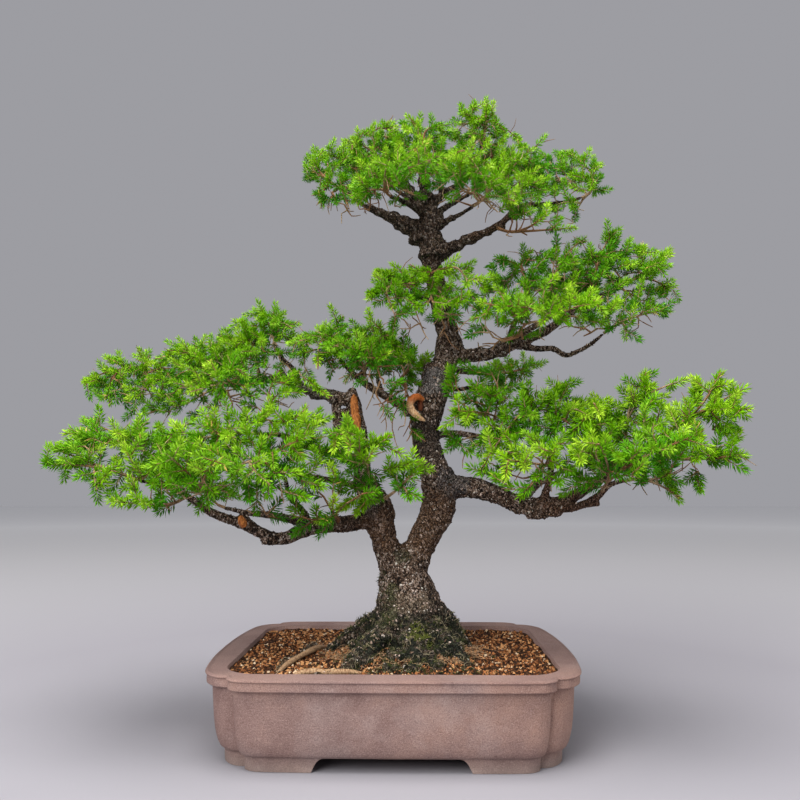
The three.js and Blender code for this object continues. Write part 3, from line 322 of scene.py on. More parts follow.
# Places between the sprays of a pad that its twigs fill too
INFILL = {
    "up_left": (
        (-303, 20, 369), (-272, 0, 350), (-245, -10, 337), (-233, 0, 355), (-274, -15, 335),
        (-259, 10, 362), (-188, 0, 355), (-161, -20, 341), (-142, -10, 353), (-116, -30, 345),
        (-104, -10, 352), (-161, 0, 366), (-175, -30, 335), (-142, 10, 407), (-124, 5, 401),
        (-117, 10, 413), (-148, 15, 391), (-208, 10, 368), (-225, -5, 341), (-200, -5, 343),
        (-344, 15, 365), (-295, 0, 364), (-259, -10, 357), (-225, -20, 350), (-168, -30, 343),
        (-144, -35, 339), (-186, -10, 357),
    ),
    "low_left": (
        (-88, -40, 328), (-74, -50, 317), (-166, -60, 316), (-134, -70, 320), (-104, -70, 320),
        (-197, -60, 316), (-138, -110, 246), (-121, -100, 241), (-102, -100, 246), (-120, -70, 229),
        (-107, -70, 221), (-90, -90, 270), (-64, -60, 271),
    ),
    "mid_left": (
        (-67, 0, 383), (-10, -30, 329), (0, -30, 319), (-5, -20, 344), (-107, 5, 412), (10, -20, 321),
        (9, -20, 303),
    ),
    "right_up": (
        (1, -60, 430), (16, -50, 421), (32, -45, 412), (14, -30, 404), (67, -70, 442), (82, -70, 427),
        (100, -50, 416), (109, -60, 445), (74, -50, 411), (116, -40, 402), (89, -60, 456),
        (47, -60, 435), (71, -40, 420), (97, -40, 406), (291, -10, 458), (272, -15, 435),
        (250, -20, 422), (191, -35, 420), (220, -30, 453), (211, -30, 439), (241, -30, 439),
        (266, -20, 466), (173, -50, 447), (151, -55, 435),
    ),
    "right_low": (
        (59, -20, 379), (68, -40, 359), (85, -30, 372), (73, -40, 344), (57, -40, 297), (67, -50, 286),
        (77, -50, 276), (109, -110, 260), (129, -100, 255), (148, -100, 255), (172, -100, 260),
    ),
    "crown": (
        (-78, -20, 565), (-60, -30, 552), (-43, -40, 551), (-26, -50, 552), (85, 0, 638), (40, 0, 651),
        (-18, 0, 639), (5, -20, 641), (-51, -20, 618), (142, 0, 616), (171, 0, 619), (185, -10, 597),
        (61, -30, 606), (82, -40, 590), (16, 30, 641), (-55, 30, 654), (125, 40, 645), (41, 60, 649),
        (157, -40, 572), (182, -20, 569), (172, 40, 619), (-49, -40, 585), (-16, -50, 586),
        (22, -60, 609), (52, 20, 663), (5, 0, 661), (61, -25, 571), (104, -30, 559), (192, -15, 557),
        (-66, -15, 566), (-17, -15, 569),
    ),
}

# Gaps in the pads: the middle and the radius of each
HOLLOWS = (
    ((59, 0, 687), 17), ((214, -55, 356), 26), ((284, -52, 356), 23), ((33, -38, 567), 17),
    ((49, -38, 578), 14), ((27, -48, 585), 13), ((278, -90, 345), 16), ((363, -60, 330), 16),
)

# Long shoots that stand out from the pads: where each starts and ends
LEADERS = (
    ((255, -50, 328), (258, -52, 370)), ((308, -50, 336), (311, -50, 366)),
    ((321, -55, 337), (334, -55, 364)), ((332, -55, 328), (354, -55, 352)),
    ((321, -55, 311), (353, -55, 310)), ((309, -60, 290), (342, -60, 283)),
    ((259, -64, 275), (282, -64, 244)), ((91, -40, 323), (55, -40, 334)),
    ((112, -45, 346), (91, -40, 354)), ((158, -50, 337), (172, -50, 360)),
    ((280, 0, 488), (306, 0, 517)), ((284, -5, 468), (304, -5, 473)), ((239, 0, 504), (244, 0, 537)),
    ((-1, -40, 466), (-29, -45, 457)), ((8, -35, 475), (-19, -35, 485)), ((101, 4, 664), (108, 3, 700)),
    ((95, 0, 664), (79, 0, 688)), ((-151, 22, 424), (-154, 22, 458)),
    ((-142, 22, 424), (-134, 22, 453)), ((-166, 15, 418), (-175, 10, 442)),
    ((-340, 38, 370), (-366, 42, 379)), ((-309, -70, 294), (-338, -75, 292)),
    ((-301, -70, 283), (-332, -72, 273)), ((-292, -60, 297), (-332, -60, 313)),
    ((-43, -50, 300), (-51, -52, 331)), ((-38, -50, 290), (-2, -60, 305)),
    ((-10, -50, 271), (26, -60, 279)), ((-22, -40, 249), (-43, -50, 223)),
    ((-34, -50, 244), (-63, -55, 228)), ((-102, -20, 374), (-67, -40, 346)),
)

# The two roots that lie open on the soil: rows of x, y, z and radius
EXPOSED_ROOTS = (
    (
        (-70, 6, 84, 2), (-78, -12, 88, 3.4), (-86, -36, 89, 3.7), (-93, -58, 88.6, 2.9),
        (-99, -78, 87.6, 3.3), (-104, -100, 85, 2.5), (-106, -112, 80, 1.8),
    ),
    (
        (-92, -110, 82, 2.4), (-78, -110, 87, 3.2), (-58, -111, 87, 3), (-40, -107, 86.5, 2.8),
        (-24, -102, 83, 2),
    ),
)

# Swellings where limbs part and old cuts healed: x, y, z and the radius
KNOBS = (
    (43, 0, 519, 18), (56, 0, 519, 9), (32, 2, 538, 16), (19, 0, 547, 13), (8, -3, 551, 11),
    (-2, -5, 558, 8), (-11, -7, 559, 6.5), (43, 2, 560, 13), (28, 0, 573, 9), (19, 1, 584, 8),
    (11, 0, 595, 6.5), (34, -1, 583, 9), (32, -3, 601, 7.5), (68, -4, 523, 9), (83, -8, 528, 7.5),
    (101, -12, 535, 6.5), (137, -20, 232, 12), (147, -24, 226, 10), (163, -30, 228, 9),
    (176, -34, 232, 8), (128, -16, 240, 13), (-127, -40, 200, 9), (-97, -34, 208, 9),
    (-135, -42, 208, 7), (60, 4, 411, 17), (45, 4, 381, 17), (27, 2, 340, 17), (48, 1, 266, 18),
    (59, -1, 255, 16), (72, -3, 255, 13), (115, -6, 400, 8), (137, -8, 409, 9), (93, -3, 402, 8),
    (-89, 16, 356, 8), (-109, 20, 365, 7.5), (-68, 12, 353, 8.5), (-51, 9, 352, 9), (-126, 26, 376, 7),
    (-2, -38, 99, 20), (20, -46, 95, 22), (42, -36, 100, 19), (-21, -34, 96, 18), (6, -72, 90, 15),
    (29, -76, 91, 14), (49, -58, 93, 13), (-13, -62, 87, 14), (-33, -40, 93, 13), (58, -30, 98, 12),
    (-47, -10, 96, 13), (-2, -96, 87, 10), (18, -98, 86, 10), (40, -90, 87, 9), (-26, -80, 88, 10),
    (29, 0, 573, 8), (23, 0, 581, 7.5), (16, 0, 591, 7), (11, 0, 598, 6), (6, 0, 607, 5.5),
    (32, 0, 584, 8), (34, -2, 597, 7), (32, -3, 609, 6), (33, -4, 621, 5), (117, -13, 542, 6.5),
    (130, -14, 553, 6), (139, -14, 563, 5.5), (90, -10, 532, 7.5), (-20, -10, 562, 5),
    (-28, -11, 565, 4.5), (-57, 8, 348, 7), (-56, 5, 336, 7), (-54, 0, 323, 6.5), (-62, 10, 355, 8),
    (-73, 13, 358, 8), (-83, 15, 358, 8), (-96, 17, 362, 8), (-109, 20, 367, 8), (-121, 23, 373, 7.5),
    (-133, 27, 378, 7), (-145, 29, 377, 6), (24, -1, 532, 10), (15, -3, 543, 8.5), (7, -4, 547, 8),
    (-4, -8, 554, 7), (-17, -10, 560, 6.5), (46, -6, 534, 8), (-153, -47, 215, 6.5),
    (-160, -49, 221, 5), (-26, -10, 564, 5.5), (57, -2, 522, 8), (70, -6, 523, 7), (79, -8, 529, 8),
    (46, -4, 546, 8), (54, -10, 548, 6), (63, -18, 550, 5), (39, 2, 573, 8), (46, 3, 582, 6.5),
    (54, 4, 592, 5.5), (32, -3, 606, 6),
)

POT_CENTRE_M = (Vector(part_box("pot")[0]) + Vector(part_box("pot")[1])) / 2


def to_frame(points: Array) -> Array:
    """Turns millimetres from the pot's middle, POT_BASE under its feet, into metres in the frame."""
    shift = np.array([POT_CENTRE_M.x, POT_CENTRE_M.y, -POT_BASE * MM])
    return np.asarray(points, float) * MM + shift


# Objects and operators


def select_only(*objects: Object) -> None:
    """Selects these objects and nothing else, and makes the first one active."""
    for other in list(bpy.context.selected_objects):
        other.select_set(False)
    for obj in objects:
        obj.select_set(True)
    bpy.context.view_layer.objects.active = objects[0]


def added(name: str) -> Object:
    """Names the object that an add operator has just made and returns it."""
    obj = bpy.context.active_object
    obj.name = obj.data.name = name
    return obj


def placed(name: str, data: bpy.types.ID) -> Object:
    """A new object that shows this data."""
    obj = bpy.data.objects.new(name, data)
    bpy.context.collection.objects.link(obj)
    return obj


@contextmanager
def editing(whole: bool = True) -> Iterator[None]:
    """Opens edit mode on the active object, with all of it selected or only what was picked."""
    bpy.ops.object.mode_set(mode="EDIT")
    if whole:
        bpy.ops.mesh.select_all(action="SELECT")
    yield
    bpy.ops.object.mode_set(mode="OBJECT")


def pick(obj: Object, wanted: Callable[[Vector], bool]) -> None:
    """Selects the vertices whose place is wanted, and the edges between them.

    Args:
        obj: The object.
        wanted: Says of a place whether it is wanted.
    """
    select_only(obj)
    with editing():
        bpy.ops.mesh.select_mode(type="VERT")
        bpy.ops.mesh.select_all(action="DESELECT")
    for vertex in obj.data.vertices:
        vertex.select = wanted(vertex.co)


def apply_modifier(obj: Object, kind: str, **settings: object) -> None:
    """Adds a modifier of a kind to an object, with its own settings, and applies it."""
    modifier = obj.modifiers.new(kind.lower(), kind)
    for name, value in settings.items():
        setattr(modifier, name, value)
    select_only(obj)
    bpy.ops.object.modifier_apply(modifier=modifier.name)


def displace(obj: Object, size: float, strength: float, group: str = "") -> None:
    """Pushes a surface in and out by soft clouds.

    Args:
        obj: The object, in millimetres.
        size: The size of the clouds.
        strength: How far they push.
        group: The vertex group that they are weighed by, if any.
    """
    texture = bpy.data.textures.new("relief", "CLOUDS")
    texture.noise_scale = size
    apply_modifier(
        obj, "DISPLACE", texture=texture, texture_coords="LOCAL", strength=strength,
        mid_level=0.5, vertex_group=group,
    )


def remove(*objects: Object) -> None:
    """Deletes objects that were only a means to make another one."""
    for obj in objects:
        mesh = obj.data
        bpy.data.objects.remove(obj)
        bpy.data.meshes.remove(mesh)


def read(items: bpy.types.bpy_prop_collection, name: str, kind: type = float) -> Array:
    """Three numbers for each item of a mesh, such as the place of each vertex."""
    values = np.empty(len(items) * 3, kind)
    items.foreach_get(name, values)
    return values.reshape(-1, 3)


def hand_over(
    obj: Object, finishes: Sequence[Material], node: str = ""
) -> None:
    """Gives a finished piece its materials and its body, and hides the node that it replaces.

    Args:
        obj: The finished piece.
        finishes: Its materials, in the order that its faces count them.
        node: The node that the piece replaces, if any.
    """
    for finish in finishes:
        obj.data.materials.append(finish)
    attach(obj, "root")
    if node:
        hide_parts(node)
    LOG.info("%s: %d faces", obj.name, len(obj.data.polygons))


def complete(
    obj: Object, finish: Material, node: str = "", angle: float = 180.0
) -> None:
    """Smooths a piece made in millimetres, moves its mesh to its place and hands it over.

    Args:
        obj: The piece.
        finish: Its material.
        node: The node that the piece replaces, if any.
        angle: The bend, in degrees, from which an edge stays sharp.
    """
    select_only(obj)
    if angle < 180:
        bpy.ops.object.shade_smooth_by_angle(angle=math.radians(angle))
    else:
        bpy.ops.object.shade_smooth()
    vertices = obj.data.vertices
    vertices.foreach_set("co", to_frame(read(vertices, "co")).ravel())
    obj.data.update()
    hand_over(obj, (finish,), node)


# Shapes that repeat


@dataclass
class Pattern:
    """A small modelled shape that is copied many times, in millimetres.

    Attributes:
        points: One row for each vertex.
        faces: Three vertex numbers for each triangle.
        marks: Three numbers from 0 to 1 for each vertex, which its material reads.
        finish: The material number of each triangle.
    """

    points: Array
    faces: Array
    marks: Array
    finish: Array

    @classmethod
    def taken_from(cls, obj: Object, finish: int = 0) -> Pattern:
        """Takes the shape of an object, as triangles, and deletes the object.

        Args:
            obj: The modelled object.
            finish: The material number for all its faces.

        Returns:
            The pattern, with all its marks at 0.
        """
        select_only(obj)
        with editing():
            bpy.ops.mesh.quads_convert_to_tris()
        points = read(obj.data.vertices, "co")
        faces = read(obj.data.polygons, "vertices", np.int32)
        remove(obj)
        return cls(points, faces, np.zeros(points.shape), np.full(len(faces), finish, np.int32))


@dataclass
class Gathering:
    """Copies of patterns that end up in one mesh."""

    copies: list[Pattern] = field(default_factory=list)
    count: int = 0

    def add(
        self, pattern: Pattern, turn: Array, place: Array, marks: Array | None = None
    ) -> None:
        """Adds one copy.

        Args:
            pattern: The shape.
            turn: Its 3 by 3 rotation, with any scale.
            place: Where its origin goes.
            marks: Marks for each vertex instead of the pattern's own.
        """
        points = pattern.points @ turn.T + place
        marks = pattern.marks if marks is None else marks
        self.copies.append(Pattern(points, pattern.faces + self.count, marks, pattern.finish))
        self.count += len(points)

    def pattern(self) -> Pattern:
        """All the copies as one new pattern."""
        parts = zip(*((one.points, one.faces, one.marks, one.finish) for one in self.copies))
        return Pattern(*map(np.concatenate, parts))

    def build(self, name: str) -> Object:
        """Makes one flat-shaded object of all the copies, at its place in the frame.

        Args:
            name: The object's name.

        Returns:
            The object.
        """
        whole = self.pattern()
        mesh = bpy.data.meshes.new(name)
        mesh.vertices.add(len(whole.points))
        mesh.vertices.foreach_set("co", to_frame(whole.points).ravel())
        mesh.loops.add(whole.faces.size)
        mesh.loops.foreach_set("vertex_index", whole.faces.ravel().astype(np.int32))
        mesh.polygons.add(len(whole.faces))
        mesh.polygons.foreach_set("loop_start", np.arange(0, whole.faces.size, 3, dtype=np.int32))
        mesh.polygons.foreach_set("material_index", whole.finish)
        layer = mesh.attributes.new("marks", "FLOAT_VECTOR", "POINT")
        layer.data.foreach_set("vector", whole.marks.ravel().astype(np.float32))
        mesh.update(calc_edges=True)
        mesh.shade_flat()
        return placed(name, mesh)


def unit(vector: Array) -> Array:
    """The vector at length 1."""
    return vector / np.linalg.norm(vector)


def facing(direction: Array, roll: float) -> Array:
    """A rotation that turns +Z to a direction.

    Args:
        direction: Where +Z goes.
        roll: The turn about it, in radians.

    Returns:
        The 3 by 3 rotation.
    """
    ahead = unit(direction)
    helper = np.array([0.0, 0.0, 1.0]) if abs(ahead[2]) < 0.9 else np.array([1.0, 0.0, 0.0])
    side = unit(np.cross(helper, ahead))
    across = math.cos(roll) * side + math.sin(roll) * np.cross(ahead, side)
    return np.column_stack((across, np.cross(ahead, across), ahead))


def drawn(draw: random.Random, spread: float) -> Array:
    """A vector that points anywhere, with this spread on each axis."""
    return np.array([draw.gauss(0, spread) for _ in range(3)])


def rolled(draw: random.Random) -> float:
    """A turn of any size."""
    return draw.uniform(0, FULL_TURN)


def chips(
    name: str, seeds: range, radius: float, depth: float, offset: float, uniform: float, scale: Point
) -> list[Pattern]:
    """A few small angular chips, each a four-sided cone that is shaken out of shape.

    Args:
        name: The name of one.
        seeds: The seed of each.
        radius: The cone's radius.
        depth: The cone's height.
        offset: How far its vertices are shaken.
        uniform: How alike they are shaken.
        scale: What each axis is multiplied by.

    Returns:
        The chips.
    """
    patterns = []
    for seed in seeds:
        bpy.ops.mesh.primitive_cone_add(vertices=4, radius1=radius, radius2=0.0, depth=depth)
        chip = added(name)
        with editing():
            bpy.ops.transform.vertex_random(offset=offset, uniform=uniform, seed=seed)
            bpy.ops.transform.resize(value=scale)
        patterns.append(Pattern.taken_from(chip))
    return patterns


def spike(name: str, radius: float, length: float, base: float = 0.0) -> Object:
    """A three-sided spike along +Z, with its base at a height.

    Args:
        name: Its name.
        radius: The radius at its base.
        length: Its height.
        base: The height of its base.

    Returns:
        The spike.
    """
    middle = (0, 0, base + length / 2)
    bpy.ops.mesh.primitive_cone_add(
        vertices=3, radius1=radius, radius2=0.0, depth=length, location=middle
    )
    obj = added(name)
    bpy.ops.object.transform_apply(location=True)
    return obj


class Strands:
    """Round stems along given lines, made as one curve and turned into a mesh."""

    def __init__(self, roundness: int) -> None:
        """Starts an empty set of stems, with four sides and two more for each step of roundness."""
        self.curve = bpy.data.curves.new("strands", "CURVE")
        self.curve.dimensions = "3D"
        self.curve.bevel_depth = 1.0
        self.curve.bevel_resolution = roundness
        self.curve.use_fill_caps = True

    def add_line(self, points: Sequence[Array], radii: Sequence[float]) -> None:
        """Adds a stem whose points are joined by straight stretches."""
        spline = self.curve.splines.new("POLY")
        spline.points.add(len(points) - 1)
        for knot, point, radius in zip(spline.points, points, radii):
            knot.co = (*point, 1.0)
            knot.radius = radius

    def add_smooth(self, rows: Sequence[Sequence[float]], steps: int) -> None:
        """Adds a stem that curves through rows of x, y, z and radius.

        Args:
            rows: The rows.
            steps: How many stretches lie between two of them.
        """
        spline = self.curve.splines.new("BEZIER")
        spline.bezier_points.add(len(rows) - 1)
        spline.resolution_u = steps
        spline.radius_interpolation = "CARDINAL"
        for knot, (x, y, z, radius) in zip(spline.bezier_points, rows):
            knot.co = (x, y, z)
            knot.radius = radius
            knot.handle_left_type = knot.handle_right_type = "AUTO"

    def to_object(self, name: str) -> Object:
        """Turns the stems into a mesh object, still in millimetres."""
        select_only(placed(name, self.curve))
        bpy.ops.object.convert(target="MESH")
        return added(name)


# Shader trees


Feed = float | tuple | Socket
Sockets = bpy.types.bpy_prop_collection


class Tree:
    """One node tree, with short ways to add its nodes and join them."""

    def __init__(self, tree: NodeTree) -> None:
        """Takes the tree that the nodes go into."""
        self.tree = tree

    def node(self, kind: str, feeds: dict[str | int, Feed], **settings: object) -> Sockets:
        """Adds a node.

        Args:
            kind: Blender's name for the kind of node, after ShaderNode.
            feeds: A value or an output socket for each input, by its name or number.
            **settings: The node's own settings.

        Returns:
            The node's outputs.
        """
        made = self.tree.nodes.new(f"ShaderNode{kind}")
        for name, value in settings.items():
            setattr(made, name, value)
        for name, value in feeds.items():
            self.feed(made.inputs[name], value)
        return made.outputs

    def feed(self, socket: Socket, value: Feed) -> None:
        """Joins an output to an input, or sets the input's value."""
        if isinstance(value, Socket):
            self.tree.links.new(value, socket)
        else:
            socket.default_value = value

    def math(self, operation: str, first: Feed, second: Feed) -> Socket:
        """Adds a Math node and returns its output."""
        return self.node("Math", {0: first, 1: second}, operation=operation)[0]

    def vector(self, operation: str, first: Feed, second: Feed = (0, 0, 0)) -> Sockets:
        """Adds a Vector Math node and returns its outputs."""
        return self.node("VectorMath", {0: first, 1: second}, operation=operation)

    def mix(self, share: Feed, low: Feed, high: Feed) -> Socket:
        """Adds a colour mix and returns its output."""
        return self.node("Mix", {0: share, 6: low, 7: high}, data_type="RGBA")[2]

    def tint(self, base: Feed, mask: Feed, share: float, colour: Feed) -> Socket:
        """Lays a colour over another where a mask says so, as far as a share."""
        return self.mix(self.math("MULTIPLY", mask, share), base, colour)

    def remap(
        self, value: Feed, low: Feed, high: Feed, to_low: float = 0.0, to_high: float = 1.0
    ) -> Socket:
        """Stretches a stretch of values to another one, clamped, and returns the output."""
        feeds = {"Value": value, "From Min": low, "From Max": high, "To Min": to_low, "To Max": to_high}
        return self.node("MapRange", feeds)["Result"]

    def noise(
        self, vector: Feed, scale: Feed, detail: float = 3.0, roughness: float = 0.55
    ) -> Socket:
        """Adds a noise texture and returns its value."""
        feeds = {"Vector": vector, "Scale": scale, "Detail": detail, "Roughness": roughness}
        return self.node("TexNoise", feeds)[0]

    def ramp(self, value: Feed, stops: Sequence, step: bool = False) -> Socket:
        """Adds a colour ramp with these stops, of a position and a colour, and returns its colour.

        Args:
            value: What the ramp reads.
            stops: The position and the colour of each stop.
            step: True where the colours change without a blend.

        Returns:
            The ramp's colour.
        """
        colour = self.node("ValToRGB", {"Fac": value})["Color"]
        band = colour.node.color_ramp
        band.interpolation = "CONSTANT" if step else "LINEAR"
        while len(band.elements) < len(stops):
            band.elements.new(0.5)
        for element, (position, shade) in zip(band.elements, stops):
            element.position = position
            element.color = shade
        return colour

    def split(self, vector: Feed) -> Sockets:
        """The three numbers of a vector."""
        return self.node("SeparateXYZ", {"Vector": vector})

    def marks(self) -> Sockets:
        """The three marks of a piece that is made of patterns."""
        return self.split(self.node("Attribute", {}, attribute_name="marks")["Vector"])

    def cells(self, vector: Feed, scale: Feed) -> tuple[Socket, Socket]:
        """The distance to the middle of the nearest cell, and a number of its own for each cell."""
        cells = self.node("TexVoronoi", {"Vector": vector, "Scale": scale})
        return cells["Distance"], self.node("SeparateColor", {"Color": cells["Color"]})["Red"]


def new_group(
    name: str, inputs: dict[str, float | None], outputs: Sequence[str]
) -> tuple[Tree, Sockets, Sockets]:
    """Starts a shared group with its named sockets.

    Args:
        name: The group's name.
        inputs: Each input's default. None makes it a vector.
        outputs: The names of the outputs, all of them numbers.

    Returns:
        The group's tree, what it is given and what it puts out.
    """
    made = bpy.data.node_groups.new(name, "ShaderNodeTree")
    for label, value in inputs.items():
        kind = "NodeSocketVector" if value is None else "NodeSocketFloat"
        socket = made.interface.new_socket(name=label, in_out="INPUT", socket_type=kind)
        if value is not None:
            socket.default_value = value
    for label in outputs:
        made.interface.new_socket(name=label, in_out="OUTPUT", socket_type="NodeSocketFloat")
    given, out = made.nodes.new("NodeGroupInput"), made.nodes.new("NodeGroupOutput")
    return Tree(made), given.outputs, out.inputs


class Effect(Enum):
    """The effects that several finishes share, each one a node group that is built once."""

    BLOTCHES = "Blotches"
    FLECKS = "Flecks"
    PATCH = "Patch"
    SCALES = "Scales"
    GRAIN = "Grain"


class Effects:
    """The shared groups, by their names."""

    def __init__(self) -> None:
        """Builds every group."""
        self.groups = {
            Effect.BLOTCHES: self.blotches(),
            Effect.FLECKS: self.flecks(),
            Effect.PATCH: self.patch(),
            Effect.SCALES: self.scales(),
            Effect.GRAIN: self.grain(),
        }

    def blotches(self) -> NodeTree:
        """Soft-edged blotches with ragged outlines."""
        inputs = {"Vector": None, "Scale": 30.0, "Level": 0.55, "Softness": 0.1}
        tree, given, out = new_group(Effect.BLOTCHES.value, inputs, ("Mask",))
        value = tree.noise(given["Vector"], given["Scale"], 5.0, 0.62)
        high = tree.math("ADD", given["Level"], given["Softness"])
        tree.feed(out["Mask"], tree.remap(value, given["Level"], high))
        return tree.tree

    def flecks(self) -> NodeTree:
        """Scattered round flecks, and a number of its own for each one's surroundings."""
        inputs = {"Vector": None, "Scale": 500.0, "Share": 0.2, "Size": 0.4}
        tree, given, out = new_group(Effect.FLECKS.value, inputs, ("Mask", "Value"))
        distance, value = tree.cells(given["Vector"], given["Scale"])
        chosen = tree.math("LESS_THAN", value, given["Share"])
        inside = tree.remap(distance, given["Size"], 0.0)
        tree.feed(out["Mask"], tree.math("MULTIPLY", inside, chosen))
        tree.feed(out["Value"], value)
        return tree.tree

    def patch(self) -> NodeTree:
        """One patch round a centre, with a ragged edge."""
        inputs = {"Vector": None, "Centre": None, "Radius": 0.02, "Ragged": 0.5}
        tree, given, out = new_group(Effect.PATCH.value, inputs, ("Mask",))
        away = tree.vector("DISTANCE", given["Vector"], given["Centre"])["Value"]
        wander = tree.math("SUBTRACT", tree.noise(given["Vector"], 220.0, 3.0), 0.5)
        ragged = tree.math("MULTIPLY", wander, given["Ragged"])
        edge = tree.math("ADD", tree.math("DIVIDE", away, given["Radius"]), ragged)
        tree.feed(out["Mask"], tree.remap(edge, 1.0, 0.8))
        return tree.tree

    def scales(self) -> NodeTree:
        """Bark scales: a height that drops at their edges, and a number for each scale."""
        inputs = {"Vector": None, "Scale": 180.0, "Warp": 0.004}
        tree, given, out = new_group(Effect.SCALES.value, inputs, ("Height", "Value"))
        feeds = {"Vector": given["Vector"], "Scale": 120.0, "Detail": 3.0}
        swirl = tree.vector("SUBTRACT", tree.node("TexNoise", feeds)["Color"], (0.5, 0.5, 0.5))[0]
        moved = tree.vector("ADD", given["Vector"], tree.vector("MULTIPLY", swirl, given["Warp"])[0])[0]
        tall = tree.vector("MULTIPLY", moved, (1.0, 1.0, 0.62))[0]
        feeds = {"Vector": tall, "Scale": given["Scale"]}
        edges = tree.node("TexVoronoi", feeds, feature="DISTANCE_TO_EDGE")["Distance"]
        value = tree.cells(tall, given["Scale"])[1]
        height = tree.math("MULTIPLY", tree.remap(edges, 0.0, 0.22), tree.remap(value, 0.0, 1.0, 0.4))
        tree.feed(out["Height"], height)
        tree.feed(out["Value"], value)
        return tree.tree

    def grain(self) -> NodeTree:
        """Fine even grain with a little coarser unevenness under it."""
        inputs = {"Vector": None, "Scale": 900.0}
        tree, given, out = new_group(Effect.GRAIN.value, inputs, ("Height",))
        fine = tree.noise(given["Vector"], given["Scale"], 2.0, 0.7)
        coarse = tree.noise(given["Vector"], tree.math("MULTIPLY", given["Scale"], 0.16), 3.0, 0.6)
        tree.feed(out["Height"], tree.math("ADD", fine, coarse))
        return tree.tree


class Finish:
    """A material with one Principled shader, which each kind of finish paints in its own way."""

    gloss = 0.5

    def __init__(self, name: str, effects: Effects) -> None:
        """Makes the material and paints it.

        Args:
            name: The material's name.
            effects: The shared effects.
        """
        self.material = bpy.data.materials.new(name)
        self.material.use_nodes = True
        self.effects = effects
        self.tree = Tree(self.material.node_tree)
        self.place = self.tree.node("TexCoord", {})["Object"]
        self.shader = self.material.node_tree.nodes["Principled BSDF"].inputs
        self.shader["Specular IOR Level"].default_value = self.gloss
        self.paint()

    def paint(self) -> None:
        """Feeds the shader. Every finish has its own way."""
        raise NotImplementedError

    def effect(self, kind: Effect, **feeds: Feed) -> Sockets:
        """Lays a shared effect over the piece and returns its outputs."""
        labels = {name.title(): value for name, value in feeds.items()}
        made = self.tree.node("Group", {}, node_tree=self.effects.groups[kind])
        for name, value in {"Vector": self.place, **labels}.items():
            self.tree.feed(made[0].node.inputs[name], value)
        return made

    def height(self, low: float, high: float) -> Socket:
        """A mask that goes from 0 to 1 between two heights above the floor, in metres."""
        return self.tree.remap(self.tree.split(self.place)["Z"], low, high)

    def set(self, colour: Feed, roughness: Feed) -> None:
        """Sets what feeds the colour and the roughness."""
        self.tree.feed(self.shader["Base Color"], colour)
        self.tree.feed(self.shader["Roughness"], roughness)

    def relief(self, height: Feed, depth_m: float, strength: float = 1.0) -> None:
        """Adds a bump of the given depth."""
        feeds = {"Height": height, "Distance": depth_m, "Strength": strength}
        self.tree.feed(self.shader["Normal"], self.tree.node("Bump", feeds)["Normal"])


def rgb(red: float, green: float, blue: float) -> Colour:
    """A linear colour from three display values of 0 to 255."""
    return (*((value / 255) ** 2.2 for value in (red, green, blue)), 1.0)


# Crusts on the bark: the middle and the radius in metres, the two colours and the share
BROWN_CRUST = (rgb(96, 74, 54), rgb(210, 188, 162), 0.65)
ORANGE_CRUST = (rgb(74, 50, 32), rgb(178, 134, 98), 0.5)
LICHENS = (
    ((0.0461, -0.0140, 0.3624), 0.018, rgb(92, 88, 86), rgb(196, 190, 186), 0.8),
    ((-0.0177, -0.0240, 0.2234), 0.011, rgb(96, 94, 90), rgb(200, 198, 190), 0.6),
    ((-0.0880, 0.0140, 0.3580), 0.03, rgb(70, 66, 60), rgb(184, 178, 168), 0.6),
    ((-0.0022, -0.0400, 0.1440), 0.015, rgb(34, 42, 20), rgb(110, 122, 70), 0.6),
    ((0.0137, -0.0220, 0.1761), 0.01, rgb(30, 38, 20), rgb(104, 114, 74), 0.6),
    ((0.015, -0.044, 0.131), 0.013, *BROWN_CRUST),
    ((0.039, -0.042, 0.134), 0.013, *BROWN_CRUST),
    ((0.042, 0.000, 0.297), 0.030, rgb(14, 13, 12), rgb(96, 88, 80), 0.65),
    ((0.067, -0.008, 0.251), 0.022, rgb(30, 30, 32), rgb(150, 148, 150), 0.6),
    ((0.041, -0.008, 0.210), 0.042, *ORANGE_CRUST),
    ((-0.007, -0.012, 0.207), 0.030, *ORANGE_CRUST),
    ((0.189, -0.036, 0.244), 0.040, rgb(66, 44, 32), rgb(176, 130, 102), 0.6),
    ((0.123, -0.012, 0.537), 0.045, rgb(66, 46, 34), rgb(172, 132, 106), 0.5),
    ((-0.0080, -0.0450, 0.1250), 0.02, rgb(40, 44, 26), rgb(122, 124, 82), 0.6),
)


